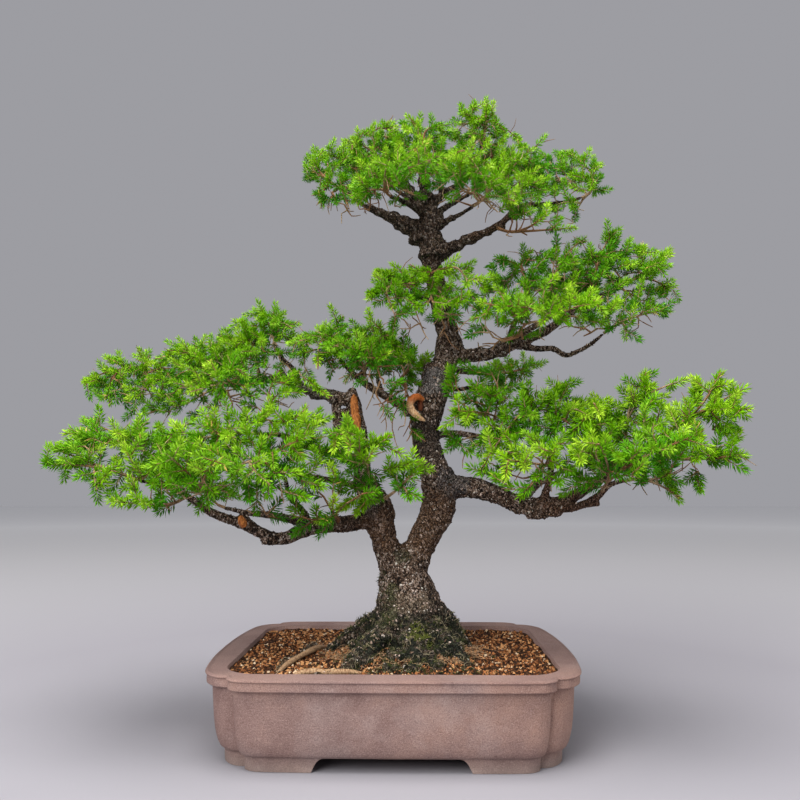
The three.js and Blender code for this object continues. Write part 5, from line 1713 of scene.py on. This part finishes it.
@dataclass
class BarkCover:
    """The loose flakes on the bark, and the moss and fine fibres over the root base."""

    surface: Surface
    soil: Soil
    flake_count: int = 7600
    tuft_count: int = 1500
    edge_count: int = 420
    fibre_count: int = 300
    moss_top: float = 128.0
    flakes_from: float = 86.0
    pale_bands: tuple = ((0.55, 138, 28), (0.4, 368, 26))
    crown_from: float = 430.0
    root_middle: tuple = (8, -30)
    wisp: tuple = ((24, -62), 11)
    fork_moss: tuple = (150, 16)
    fibre_heights: tuple = (84, 124)

    def build_flakes(self, finish: Material) -> None:
        """Scatters flakes over the bark, more of them pale low on the trunk and at its scar.

        Args:
            finish: The flakes' finish.
        """
        draw = random.Random(23)
        patterns = chips("flake", range(11, 17), 1.6, 0.9, 0.6, 0.4, (1.0, 0.8, 0.8))
        flakes = Gathering()
        share = (self.surface.centres[:, 2] > self.flakes_from) + 0.0
        for place, away in self.surface.spots(self.flake_count, share, 5):
            pale = 0.2 - 0.1 * (place[2] > self.crown_from)
            for more, middle, reach in self.pale_bands:
                pale += more * math.exp(-(((place[2] - middle) / reach) ** 2))
            kind = draw.uniform(0.62, 1.0) if draw.random() < pale else draw.uniform(0.0, 0.6)
            pattern = draw.choice(patterns)
            turn = facing(away + drawn(draw, 0.35), rolled(draw)) * draw.uniform(0.55, 1.25)
            marks = pattern.marks + np.array([kind, draw.random(), 0.0])
            flakes.add(pattern, turn, place + away * draw.uniform(0.0, 0.5), marks)
        hand_over(flakes.build("bark_flakes"), (finish,))

    def tuft_pattern(self, seed: int) -> Pattern:
        """A tuft of six thin blades along +Z, up to 5 mm long.

        Args:
            seed: The seed of its blades.

        Returns:
            The tuft.
        """
        draw = random.Random(seed)
        tuft = Gathering()
        for _ in range(6):
            length = draw.uniform(2.2, 5.2)
            pattern = Pattern.taken_from(spike("blade", 0.42, length))
            pattern.marks[:, 2] = pattern.points[:, 2] / length
            lean = np.array([draw.gauss(0, 0.7), draw.gauss(0, 0.7), 1.0])
            place = np.array([draw.gauss(0, 0.9), draw.gauss(0, 0.9), -0.4])
            tuft.add(pattern, facing(lean, 0.0), place)
        return tuft.pattern()

    def moss_share(self) -> Array:
        """How likely each face of the wood is to carry moss."""
        centres = self.surface.centres
        height, away = centres[:, 2], np.linalg.norm(centres[:, :2] - self.root_middle, axis=1)
        share = np.clip((self.moss_top - height) / 10, 0, 1) * (height > 80)
        share *= (self.surface.normals[:, 2] > -0.5) * np.clip((88 - away) / 26, 0.0, 1)
        fork, reach = self.fork_moss
        return share + 0.3 * (abs(height - fork) < reach) * (centres[:, 0] < 2)

    def build_moss(self, finish: Material) -> None:
        """Sets tufts of moss over the root base and over the soil in front of it.

        Args:
            finish: The moss's finish.
        """
        draw = random.Random(31)
        patterns = [self.tuft_pattern(seed) for seed in range(5)]
        tufts = Gathering()
        for place, away in self.surface.spots(self.tuft_count, self.moss_share(), 8):
            wisp = math.dist(place[:2], self.wisp[0]) < self.wisp[1] and draw.random() < 0.6
            bright = draw.uniform(0.5, 0.9) if wisp else draw.choice((0.0, 0.0, 0.05, 0.15, 0.3))
            pattern = draw.choice(patterns)
            marks = pattern.marks + np.array([bright, draw.random(), 0.0])
            turn = facing(away + np.array([0, 0, 0.5]), rolled(draw))
            tufts.add(pattern, turn * (1.3 if wisp else draw.uniform(0.7, 1.1)), place, marks)
        for _ in range(self.edge_count):
            x, y = draw.gauss(10, 34), draw.uniform(-112, -46)
            pattern, up = draw.choice(patterns), np.array([draw.gauss(0, 0.4), -0.3, 1.0])
            marks = pattern.marks + np.array([draw.choice((0.0, 0.1, 0.3)), draw.random(), 0.0])
            turn = facing(up, rolled(draw)) * draw.uniform(0.6, 1.0)
            tufts.add(pattern, turn, np.array([x, y, self.soil.height(x, y) + 0.8]), marks)
        hand_over(tufts.build("root_moss"), (finish,))

    def build_fibres(self, finish: Material) -> None:
        """Lays fine pale root fibres over the root base.

        Args:
            finish: The fibres' finish.
        """
        draw = random.Random(43)
        strands = Strands(0)
        height, (low, high) = self.surface.centres[:, 2], self.fibre_heights
        share = (height > low) * (height < high) * (self.surface.normals[:, 2] > -0.2) + 0.0
        for place, away in self.surface.spots(self.fibre_count, share, 12):
            along = unit(np.cross(away, drawn(draw, 1)))
            over = unit(np.cross(away, along))
            length, bend = draw.uniform(1.5, 4.5), draw.uniform(-1.6, 1.6)
            ends = (
                place - along * length + away * draw.uniform(0.2, 1.0),
                place + over * bend + away * draw.uniform(1.4, 3.0),
                place + along * length + away * draw.uniform(0.2, 1.0),
            )
            strands.add_line(ends, (0.2, draw.uniform(0.25, 0.4), 0.2))
        complete(strands.to_object("root_fibres"), finish)


@dataclass(frozen=True)
class Scar:
    """A piece of wood without bark, as rows of x, y, z and radius."""

    name: str
    rows: tuple
    voxel: float = 0.8
    lump: float = 3.0
    relief: float = 1.6

    def build(self, finish: Material) -> None:
        """Makes the piece.

        Args:
            finish: Its finish.
        """
        strands = Strands(3)
        strands.add_smooth(self.rows, 6)
        piece = strands.to_object(self.name)
        apply_modifier(piece, "REMESH", mode="VOXEL", voxel_size=self.voxel)
        displace(piece, self.lump, self.relief)
        complete(piece, finish)


SCARS = (
    Scar("healed_tongue", (
        (30.1, -13, 347.7, 2.6), (24.7, -16, 350.1, 3.9), (18.8, -18, 347.7, 4.3),
        (15.9, -19, 342.1, 4.1), (17.7, -19, 335.7, 4.1), (22.0, -19, 330.8, 3.8),
        (26.8, -18, 327.2, 2.9), (32.1, -16, 324.1, 1),
    )),
    Scar("healed_hollow", ((27.4, -11, 346.4, 3), (28.0, -12, 340.8, 3.6), (27.4, -12, 335.4, 2.8))),
    Scar("left_trunk_top", (
        (-39.5, -5, 313.3, 3), (-42, -2, 325.6, 4.6), (-44.6, 2, 339.3, 5), (-45.9, 4, 349.6, 4.6),
        (-47.2, 6, 355.4, 2.5),
    )),
    Scar("cut_stub_end", (
        (-150.0, -53, 214.4, 3.4), (-152.6, -55, 219.4, 4.2), (-155.0, -55, 224.4, 2.4),
    )),
    Scar("upper_stub_end", (
        (-130.4, 26, 377.9, 2), (-131.6, 26, 382.6, 3), (-132.9, 26, 387.2, 1.8),
    )),
)


# Foliage


@dataclass(frozen=True)
class Bezier:
    """A stem's axis: it starts along one direction and bends to its end."""

    start: Array
    control: Array
    end: Array

    @classmethod
    def toward(cls, start: Array, heading: Array, end: Array) -> Bezier:
        """The axis that leaves its start along a heading and reaches the end."""
        span = float(np.linalg.norm(end - start))
        return cls(start, start + heading * span * STEM_BEND, end)

    def at(self, share: float) -> Array:
        """The point at a share of the way."""
        rest = 1 - share
        return rest * rest * self.start + 2 * rest * share * self.control + share * share * self.end

    def way(self, share: float) -> Array:
        """The direction of growth at a share of the way."""
        return unit((1 - share) * (self.control - self.start) + share * (self.end - self.control))

    def length(self) -> float:
        """The length along the axis."""
        points = [self.at(i / 8) for i in range(9)]
        return float(sum(np.linalg.norm(b - a) for a, b in zip(points, points[1:])))


def pad_of(spray: Spray) -> str:
    """The pad of foliage that a spray belongs to, by the first words of its name."""
    return next(pad for pad in PADS if spray.name.startswith(pad))


def size_of(number: int) -> float:
    """The size of the shoots on a spray."""
    return PADS[pad_of(SPRAYS[number])]


def stems_of(spray: Spray) -> tuple[list[Bezier], bool, Array]:
    """The stems of a spray, as in the solids.

    Args:
        spray: The spray.

    Returns:
        The stems' axes, whether the spray carries its limb on, and the point on the limb's axis.
    """
    rows = np.array(LEFT_TRUNK if spray.limb == "left_trunk" else LIMBS[spray.limb].rows(), float)
    place = spray.along * (len(rows) - 1)
    index = min(int(place), len(rows) - 2)
    row = rows[index] + (rows[index + 1] - rows[index]) * (place - index)
    axis, radius = row[:3], row[3]
    heading = unit(rows[index + 1][:3] - rows[index][:3])
    tips = [np.array(tip, float) for tip in spray.tips]
    on_tip = spray.along == 1
    if on_tip:
        base = axis + heading * SEAT_GAP
    else:
        aim = unit(sum(tips) / len(tips) - axis)
        heading = unit(aim - heading * SIDE_TURN * float(aim @ heading))
        base = axis + heading * (radius + TWIG_LENGTH + SEAT_GAP)
    stems = [Bezier.toward(base, heading, tips[0])]
    for number, tip in enumerate(tips[1:]):
        share = FORK_FIRST + FORK_STEP * number
        stems.append(Bezier.toward(stems[0].at(share), stems[0].way(share), tip))
    return stems, on_tip, axis


@dataclass
class Twig:
    """A twig of the canopy, which leaves a node of the growth and ends in a shoot."""

    axis: Bezier
    parent: int
    owner: int
    carried: int = 0


@dataclass
class Growth:
    """The nodes that twigs may leave from, and the twigs that reach the open places.

    Each twig takes the nearest open place, where a sharp turn and much wood behind count as
    distance too, so that the twigs fork and run outward as on a grown branch.
    """

    turn_cost: float = 0.5
    wood_cost: float = 0.15
    longest: float = 52.0
    places: list[Array] = field(default_factory=list)
    ways: list[Array] = field(default_factory=list)
    walked: list[float] = field(default_factory=list)
    owners: list[int] = field(default_factory=list)
    twig_of: list[int] = field(default_factory=list)
    twigs: list[Twig] = field(default_factory=list)

    def add_node(self, axis: Bezier, share: float, walked: float, owner: int, twig: int = -1) -> None:
        """Adds a node.

        Args:
            axis: The stem, limb or twig that it lies on.
            share: How far along that.
            walked: The length of the wood behind it.
            owner: The number of the spray that it belongs to.
            twig: The number of the twig, or -1 for a stem or limb.
        """
        self.places.append(axis.at(share))
        self.ways.append(axis.way(share))
        self.walked.append(walked)
        self.owners.append(owner)
        self.twig_of.append(twig)

    def offer(self, first: int, goals: Array, costs: Array, nodes: Array) -> None:
        """Lets the nodes from a number on bid for the open places.

        Args:
            first: The first of the new nodes.
            goals: The places.
            costs: The lowest bid for each place so far, changed here.
            nodes: The node of that bid, changed here.
        """
        gap = goals[None] - np.array(self.places[first:])[:, None]
        distance = np.linalg.norm(gap, axis=2) + 1e-6
        along = np.einsum("ijk,ik->ij", gap, np.array(self.ways[first:])) / distance
        bids = distance * (1 + self.turn_cost * (1 - along))
        bids += self.wood_cost * np.array(self.walked[first:])[:, None]
        bids[distance > self.longest] = np.inf
        lowest = bids.argmin(axis=0)
        lowest_bids = bids[lowest, np.arange(len(goals))]
        better = lowest_bids < costs
        costs[better] = lowest_bids[better]
        nodes[better] = lowest[better] + first

    def reach(self, goals: Array) -> None:
        """Grows a twig to every place that is near enough.

        Args:
            goals: The places.
        """
        costs = np.full(len(goals), np.inf)
        nodes = np.zeros(len(goals), int)
        is_open = np.ones(len(goals), bool)
        self.offer(0, goals, costs, nodes)
        while is_open.any():
            goal = int(np.where(is_open, costs, np.inf).argmin())
            if not is_open[goal] or not np.isfinite(costs[goal]):
                break
            is_open[goal] = False
            node = int(nodes[goal])
            axis = Bezier.toward(self.places[node], self.ways[node], goals[goal])
            number, owner, first = len(self.twigs), self.owners[node], len(self.places)
            self.twigs.append(Twig(axis, node, owner))
            length = axis.length()
            for share in (0.5, 1.0):
                self.add_node(axis, share, self.walked[node] + share * length, owner, number)
            self.offer(first, goals, costs, nodes)
        for twig in reversed(self.twigs):
            below = self.twig_of[twig.parent]
            if below >= 0:
                self.twigs[below].carried += twig.carried + 1


@dataclass
class Foliage:
    """The needled shoots of the pads, on twigs that grow from the sprays of the solids."""

    needles: Material
    twig_bark: Material
    lengths: tuple = (11.0, 15.0, 20.0, 26.0)
    needle_length: float = 7.9
    needle_width: float = 1.35
    waist: float = 0.42
    stem_radii: tuple = (1.8, 0.6)
    node_step: float = 7.0
    most_cover: int = 7
    dry_share: float = 0.32
    shoot_count: int = 4
    spacing: float = 11.0
    spread: Point = (6.0, 6.0, 4.5)
    widest_gap: float = 112.0
    candidates: int = 90000
    margin: float = 6.0
    growth: Growth = field(default_factory=Growth)
    strands: list[Strands] = field(default_factory=lambda: [Strands(0) for _ in SPRAYS])
    leaves: list[Gathering] = field(default_factory=lambda: [Gathering() for _ in SPRAYS])
    draw: random.Random = field(default_factory=lambda: random.Random(77))

    def __post_init__(self) -> None:
        """Models the needle and the shoots, and takes the box that they stay in."""
        self.needle = self.model_needle()
        self.shoots = {
            length: [self.model_shoot(length, seed) for seed in range(self.shoot_count)]
            for length in self.lengths
        }
        low, high = CAD_BOX
        shift = POT_CENTRE_M
        self.low = np.array([low.x - shift.x, low.y - shift.y, 0.0]) / MM - self.margin
        self.high = np.array([high.x - shift.x, high.y - shift.y, high.z]) / MM + self.margin + POT_BASE

    def model_needle(self) -> Pattern:
        """One needle along +Z, pointed at both ends and widest near its middle."""
        waist = self.needle_length * self.waist
        needle = spike("needle", self.needle_width / 1.7, self.needle_length - waist, waist)
        corner = max(needle.data.vertices, key=lambda vertex: vertex.co.y - vertex.co.z).co.copy()
        pick(needle, lambda point: point == corner)
        with editing(whole=False):
            bpy.ops.transform.translate(value=-corner)
        pattern = Pattern.taken_from(needle)
        pattern.marks[:, 2] = pattern.points[:, 2] / self.needle_length
        return pattern

    def model_shoot(self, length: float, seed: int) -> Pattern:
        """A shoot along +Z, slightly bent, with needles all round.

        Args:
            length: Its length.
            seed: The seed for its small differences.

        Returns:
            The shoot, whose marks are youth, tone and the place along the needle.
        """
        draw = random.Random(1000 * seed + int(length))
        shoot = Gathering()
        core = Pattern.taken_from(spike("shoot_core", 0.85, length), BARK)
        shoot.add(core, np.eye(3), np.zeros(3))
        count = int(15 + length * 2.1)
        angle = rolled(draw)
        for number in range(count):
            share = (number + draw.uniform(0.2, 0.8)) / count
            angle += GOLDEN_ANGLE + draw.uniform(-0.3, 0.3)
            lean = math.radians(66 - 40 * share**2.2 + draw.uniform(-10, 10))
            grown = draw.uniform(0.82, 1.06) * (0.78 + 0.22 * math.sin(math.pi * min(1, share + 0.15)))
            out = np.array([math.cos(angle), math.sin(angle), 0.0])
            heading = out * math.sin(lean) + np.array([0, 0, math.cos(lean)])
            root = out * 0.3 + np.array([0, 0, length * (0.05 + 0.93 * share)])
            marks = self.needle.marks.copy()
            marks[:, 0] = 0.3 + 0.7 * share
            marks[:, 1] = draw.random()
            turn = facing(heading, rolled(draw)) * np.array([1.0, 1.0, grown])
            shoot.add(self.needle, turn, root, marks)
        pattern = shoot.pattern()
        bend = draw.uniform(0.0, 0.09) * length
        rise = pattern.points[:, 2] / length
        pattern.points[:, 0] += bend * rise * rise
        return pattern

    def leaf_out(
        self, owner: int, base: Array, heading: Array, reach: float, youth_and_shade: float
    ) -> None:
        """Adds one shoot.

        Args:
            owner: The number of the spray that it belongs to.
            base: Where it grows from.
            heading: The way it grows.
            reach: The longest that it may be.
            youth_and_shade: 0 for old dark needles, 1 for new bright ones; painted shade lowers it.
        """
        draw = self.draw
        size = size_of(owner) * draw.uniform(0.92, 1.08)
        fitting = [length for length in self.lengths if length <= reach / size + 3.0]
        fitting = fitting or self.lengths[:1]
        fitting = [length for length in fitting if self.holds(base + heading * (length * size + 5))]
        if not fitting:
            return
        pattern = draw.choice(self.shoots[fitting[-1]])
        marks = pattern.marks.copy()
        # Youth with painted shade, drawn a little apart for each shoot.
        young = min(1.0, max(0.0, youth_and_shade + draw.uniform(-0.26, 0.16)))
        marks[:, 0] = np.clip(young * 0.75 + marks[:, 0] * 0.3 - 0.05, 0, 1)
        marks[:, 1] = marks[:, 1] * 0.4 + draw.random() * 0.6
        self.leaves[owner].add(pattern, facing(heading, rolled(draw)) * size, base, marks)

    def holds(self, point: Array) -> bool:
        """True where a point lies within the solids' box and a little more."""
        return bool(np.all(point > self.low) and np.all(point < self.high))

    def plant(self) -> list[tuple[str, Array]]:
        """Takes the stems of the sprays as the first nodes.

        Returns:
            The pad's name and a place on it, many times over, for the scatter.
        """
        anchors = []
        for number, spray in enumerate(SPRAYS):
            stems, on_tip, axis = stems_of(spray)
            if not on_tip:
                self.strands[number].add_line((axis, stems[0].start), (2.4, 1.8))
            for stem in stems:
                length = stem.length()
                shares = np.linspace(0, 1, 7)
                points = [stem.at(share) for share in shares]
                self.strands[number].add_line(points, np.interp(shares, (0, 1), self.stem_radii))
                count = max(3, int(length / self.node_step))
                for share in (step / count for step in range(1, count + 1)):
                    self.growth.add_node(stem, share, length * share, number)
                    if 0.25 < share < 0.9:
                        anchors.append((pad_of(spray), stem.at(share)))
        for pad, places in INFILL.items():
            anchors += [(pad, np.array(place, float)) for place in places for _ in range(3)]
        return anchors

    def scatter(self, anchors: Sequence[tuple[str, Array]]) -> Array:
        """Scatters the places that the twigs grow to, over the pads between the sprays.

        Args:
            anchors: A pad's name and a place on it, many times over.

        Returns:
            The places, none nearer to another than the spacing.
        """
        draw = np.random.default_rng(4)
        pads: dict[str, list[Array]] = {}
        for name, place in anchors:
            pads.setdefault(name, []).append(place)
        tries, sizes = [], []
        for pad, places in pads.items():
            spots = np.array(places)
            count = int(self.candidates * len(spots) / len(anchors))
            one, other = draw.integers(0, len(spots), (2, count))
            near = np.linalg.norm(spots[one] - spots[other], axis=1) < self.widest_gap
            one, other = one[near], other[near]
            share = draw.random((len(one), 1))
            tries.append(spots[one] * (1 - share) + spots[other] * share)
            sizes.append(np.full(len(one), PADS[pad] * self.spacing))
        goals = np.concatenate(tries)
        goals += draw.normal(0, self.spread, goals.shape)
        order = draw.permutation(len(goals))
        kept, cells, widest = [], {}, self.spacing * max(PADS.values())
        for goal, spacing in zip(goals[order], np.concatenate(sizes)[order]):
            cell = tuple((goal // widest).astype(int))
            around = (
                cells.get((cell[0] + i, cell[1] + j, cell[2] + k), ())
                for i in (-1, 0, 1) for j in (-1, 0, 1) for k in (-1, 0, 1)
            )
            if any(math.dist(goal, other) < spacing for some in around for other in some):
                continue
            if self.holds(goal) and not self.is_hollow(goal):
                kept.append(goal)
                cells.setdefault(cell, []).append(goal)
        return np.array(kept)

    def is_hollow(self, place: Array) -> bool:
        """True where the pads keep a gap."""
        return any(math.dist(place, centre) < radius for centre, radius in HOLLOWS)

    def cover(self, places: Array) -> Array:
        """How deep each place lies under the others, from 0 on top of a pad.

        Args:
            places: The places.

        Returns:
            A number for each place.
        """
        depth = np.zeros(len(places))
        for number, place in enumerate(places):
            gap = places - place
            above = (gap[:, 2] > 5) & (gap[:, 2] < 70) & (np.hypot(gap[:, 0], gap[:, 1]) < 16)
            depth[number] = above.sum()
        return depth

    def build(self) -> None:
        """Grows the canopy and makes a piece of each spray."""
        goals = self.scatter(self.plant())
        self.growth.reach(goals)
        twigs = self.growth.twigs
        LOG.info("canopy: %d places, %d twigs", len(goals), len(twigs))
        for twig, deep in zip(twigs, self.cover(np.array([twig.axis.end for twig in twigs]))):
            # Painted shade: a shoot under many others gets darker needles, partly also as older growth.
            youth_and_shade = max(0.3, 0.95 - 0.09 * float(deep))
            is_bare = deep > self.most_cover and self.draw.random() < 0.07 * (deep - 3)
            self.dress(twig, youth_and_shade, is_bare)
        for number, spray in enumerate(SPRAYS):
            for stem in stems_of(spray)[0]:
                base = stem.at(1 - 15 / stem.length())
                self.leaf_out(number, base, stem.way(0.95), 18, 0.9)
        for start, end in LEADERS:
            self.lead(np.array(start, float), np.array(end, float))
        for spray, strands, leaves in zip(SPRAYS, self.strands, self.leaves):
            wood = Pattern.taken_from(strands.to_object("strands"), BARK)
            leaves.add(wood, np.eye(3), np.zeros(3))
            piece = leaves.build(f"foliage_{spray.name}")
            hand_over(piece, (self.needles, self.twig_bark), f"spray_{spray.name}")

    def lead(self, start: Array, end: Array) -> None:
        """Adds a long shoot that stands out from a pad, on a twig from the nearest wood.

        Args:
            start: Where it starts.
            end: Where it ends.
        """
        node = int(np.linalg.norm(np.array(self.growth.places) - start, axis=1).argmin())
        owner = self.growth.owners[node]
        self.strands[owner].add_line([self.growth.places[node], start, end], (0.9, 0.8, 0.4))
        heading, span = unit(end - start), float(np.linalg.norm(end - start))
        for step in range(3):
            self.leaf_out(owner, start + heading * (span - 29) * step / 2, heading, 26, 0.85)

    def dry(self, twig: Twig) -> None:
        """Adds a short dry twig beside a living one.

        Args:
            twig: The living one.
        """
        draw = self.draw
        share = draw.uniform(0.3, 0.8)
        side = drawn(draw, 0.6) + np.array([0, 0, 0.4])
        way, start = unit(twig.axis.way(share) + side), twig.axis.at(share)
        middle = start + way * draw.uniform(7, 11)
        end = middle + unit(way + side * draw.uniform(0.2, 0.7)) * draw.uniform(6, 11)
        self.strands[twig.owner].add_line([start, middle, end], (0.5, 0.45, 0.25))

    def dress(self, twig: Twig, youth_and_shade: float, is_bare: bool) -> None:
        """Puts the bare wood and the shoot of one twig in place.

        Args:
            twig: The twig.
            youth_and_shade: The youth of its needles, lowered as painted shade under other shoots.
            is_bare: True for a twig that has lost its needles in the shade.
        """
        draw, axis, strands, size = self.draw, twig.axis, self.strands[twig.owner], size_of(twig.owner)
        length = axis.length()
        if is_bare:
            bend = drawn(draw, 0.05 * length)
            line = [axis.start, (axis.start + axis.end) / 2 + bend, axis.end]
            thick = min(1.7, 0.6 * (twig.carried + 1) ** 0.33)
            strands.add_line(line, (thick, thick * 0.9, thick * 0.6))
            return
        if draw.random() < self.dry_share:
            self.dry(twig)
        lift = np.array([0, 0, draw.uniform(0.0, 0.5)])
        if twig.carried > 2:
            thick = min(1.6, 0.5 * (twig.carried + 1) ** 0.33)
            line = [axis.at(share) for share in (0, 0.5, 1)]
            strands.add_line(line, (thick, thick * 0.9, thick * 0.75))
            self.leaf_out(twig.owner, axis.at(0.75), unit(axis.way(1.0) + lift), 14 * size, youth_and_shade)
            return
        reach = min(26.0 * size, max(12.0, length * draw.uniform(0.9, 1.2)))
        if twig.carried == 0:
            reach = max(reach, size * draw.choice((15.0, 15.0, 20.0)))
        start = max(0.0, 1 - reach * 0.8 / length)
        if length > reach * 0.8 + 3:
            strands.add_line([axis.at(start * share) for share in (0, 0.5, 1)], (0.6, 0.5, 0.45))
        heading = unit(axis.way(max(start, 0.5)) + lift * 0.6)
        self.leaf_out(twig.owner, axis.at(start), heading, reach, youth_and_shade)


# Camera, floor and light


@dataclass(frozen=True)
class Lamp:
    """A soft square lamp that faces the middle of the plant."""

    name: str
    place: Point
    size: float
    power: float
    colour: Point = (1.0, 0.985, 0.96)
    target: Point = (0.0, 0.0, 0.36)

    def build(self) -> None:
        """Adds the lamp."""
        data = bpy.data.lights.new(self.name, "AREA")
        data.shape = "SQUARE"
        data.size = self.size
        data.energy = self.power
        data.color = self.colour
        lamp = placed(self.name, data)
        lamp.location = self.place
        toward = Vector(self.target) - Vector(self.place)
        lamp.rotation_mode = "QUATERNION"
        lamp.rotation_quaternion = toward.to_track_quat("-Z", "Y")


@dataclass
class Studio:
    """The camera at the photograph's place, a pale floor and soft light."""

    ground: Material
    camera_place: Point = (19.1, -785.0, 248.6)
    camera_right: Point = (0.99984, 0.01791, 0.0)
    camera_down: Point = (-0.00227, 0.12673, -0.99194)
    camera_ahead: Point = (-0.01776, 0.99178, 0.12675)
    focal_pixels: float = 720.0
    sensor_width: float = 36.0
    sky_colour: Colour = (0.80, 0.80, 0.86, 1.0)
    sky_strength: float = 0.42
    lamps: tuple[Lamp, ...] = (
        Lamp("top", (-0.1, -0.5, 2.3), 1.6, 90.0),
        Lamp("front_left", (-1.4, -2.0, 1.6), 1.6, 72.0),
        Lamp("right", (1.9, -0.8, 1.2), 1.2, 16.0),
    )

    def add_camera(self) -> None:
        """Adds the camera."""
        data = bpy.data.cameras.new("camera")
        data.sensor_width = self.sensor_width
        data.lens = self.sensor_width * self.focal_pixels / PHOTO_SIZE
        data.clip_start, data.clip_end = 0.01, 50.0
        camera = placed("camera", data)
        right, down, ahead = map(Vector, (self.camera_right, self.camera_down, self.camera_ahead))
        turn = Matrix((right, -down, -ahead)).transposed().to_4x4()
        place = to_frame(np.array([self.camera_place]))[0]
        camera.matrix_world = Matrix.Translation(place) @ turn
        bpy.context.scene.camera = camera

    def add_floor(self) -> None:
        """Adds the floor."""
        bpy.ops.mesh.primitive_plane_add(size=24.0, location=(0, 0, -0.0003))
        floor = added("floor")
        floor.data.materials.append(self.ground)

    def build(self) -> None:
        """Sets up the whole studio."""
        self.add_camera()
        self.add_floor()
        for lamp in self.lamps:
            lamp.build()
        world = bpy.data.worlds.new("sky")
        world.use_nodes = True
        sky = world.node_tree.nodes["Background"]
        sky.inputs["Color"].default_value = self.sky_colour
        sky.inputs["Strength"].default_value = self.sky_strength
        bpy.context.scene.world = world
        bpy.context.scene.view_settings.view_transform = "Standard"


def main() -> None:
    """Builds the studio and every piece in order."""
    logging.basicConfig(level=logging.INFO, format="%(message)s")
    effects = Effects()
    Studio(StudioFloor("floor", effects).material).build()
    Pot(Clay("unglazed_clay", effects).material).build()
    screens = BlackMesh("screen_plastic", effects).material
    for side in ("left", "right"):
        frame["nodes"][f"drain_screen_{side}"].data.materials.clear()
        frame["nodes"][f"drain_screen_{side}"].data.materials.append(screens)
    root_skin = BareWood("root_skin", effects, rgb(112, 80, 56), rgb(176, 146, 112)).material
    damp, grit = SoilBed("soil_bed", effects).material, Chips("soil_grains", effects).material
    soil = Soil(damp, grit, root_skin)
    soil.build_bed()
    soil.build_grains()
    soil.build_roots()
    cover = BarkCover(Wood(Bark("scaly_bark", effects).material).build(), soil)
    cover.build_flakes(Flakes("bark_flakes", effects).material)
    cover.build_moss(Moss("moss", effects).material)
    fibre_skin = BareWood("fibre_skin", effects, rgb(78, 74, 56), rgb(150, 138, 112)).material
    cover.build_fibres(fibre_skin)
    orange = BareWood("orange_dead_wood", effects, rgb(120, 62, 26), rgb(206, 130, 66)).material
    cream = BareWood("cream_dead_wood", effects, rgb(190, 136, 90), rgb(234, 204, 164), True).material
    hollow = BareWood("hollow_dead_wood", effects, rgb(52, 26, 14), rgb(120, 62, 30)).material
    finishes = {"healed_tongue": cream, "healed_hollow": hollow}
    for scar in SCARS:
        scar.build(finishes.get(scar.name, orange))
    Foliage(Needles("needles", effects).material, YoungBark("twig_bark", effects).material).build()


if __name__ == "__main__":
    main()
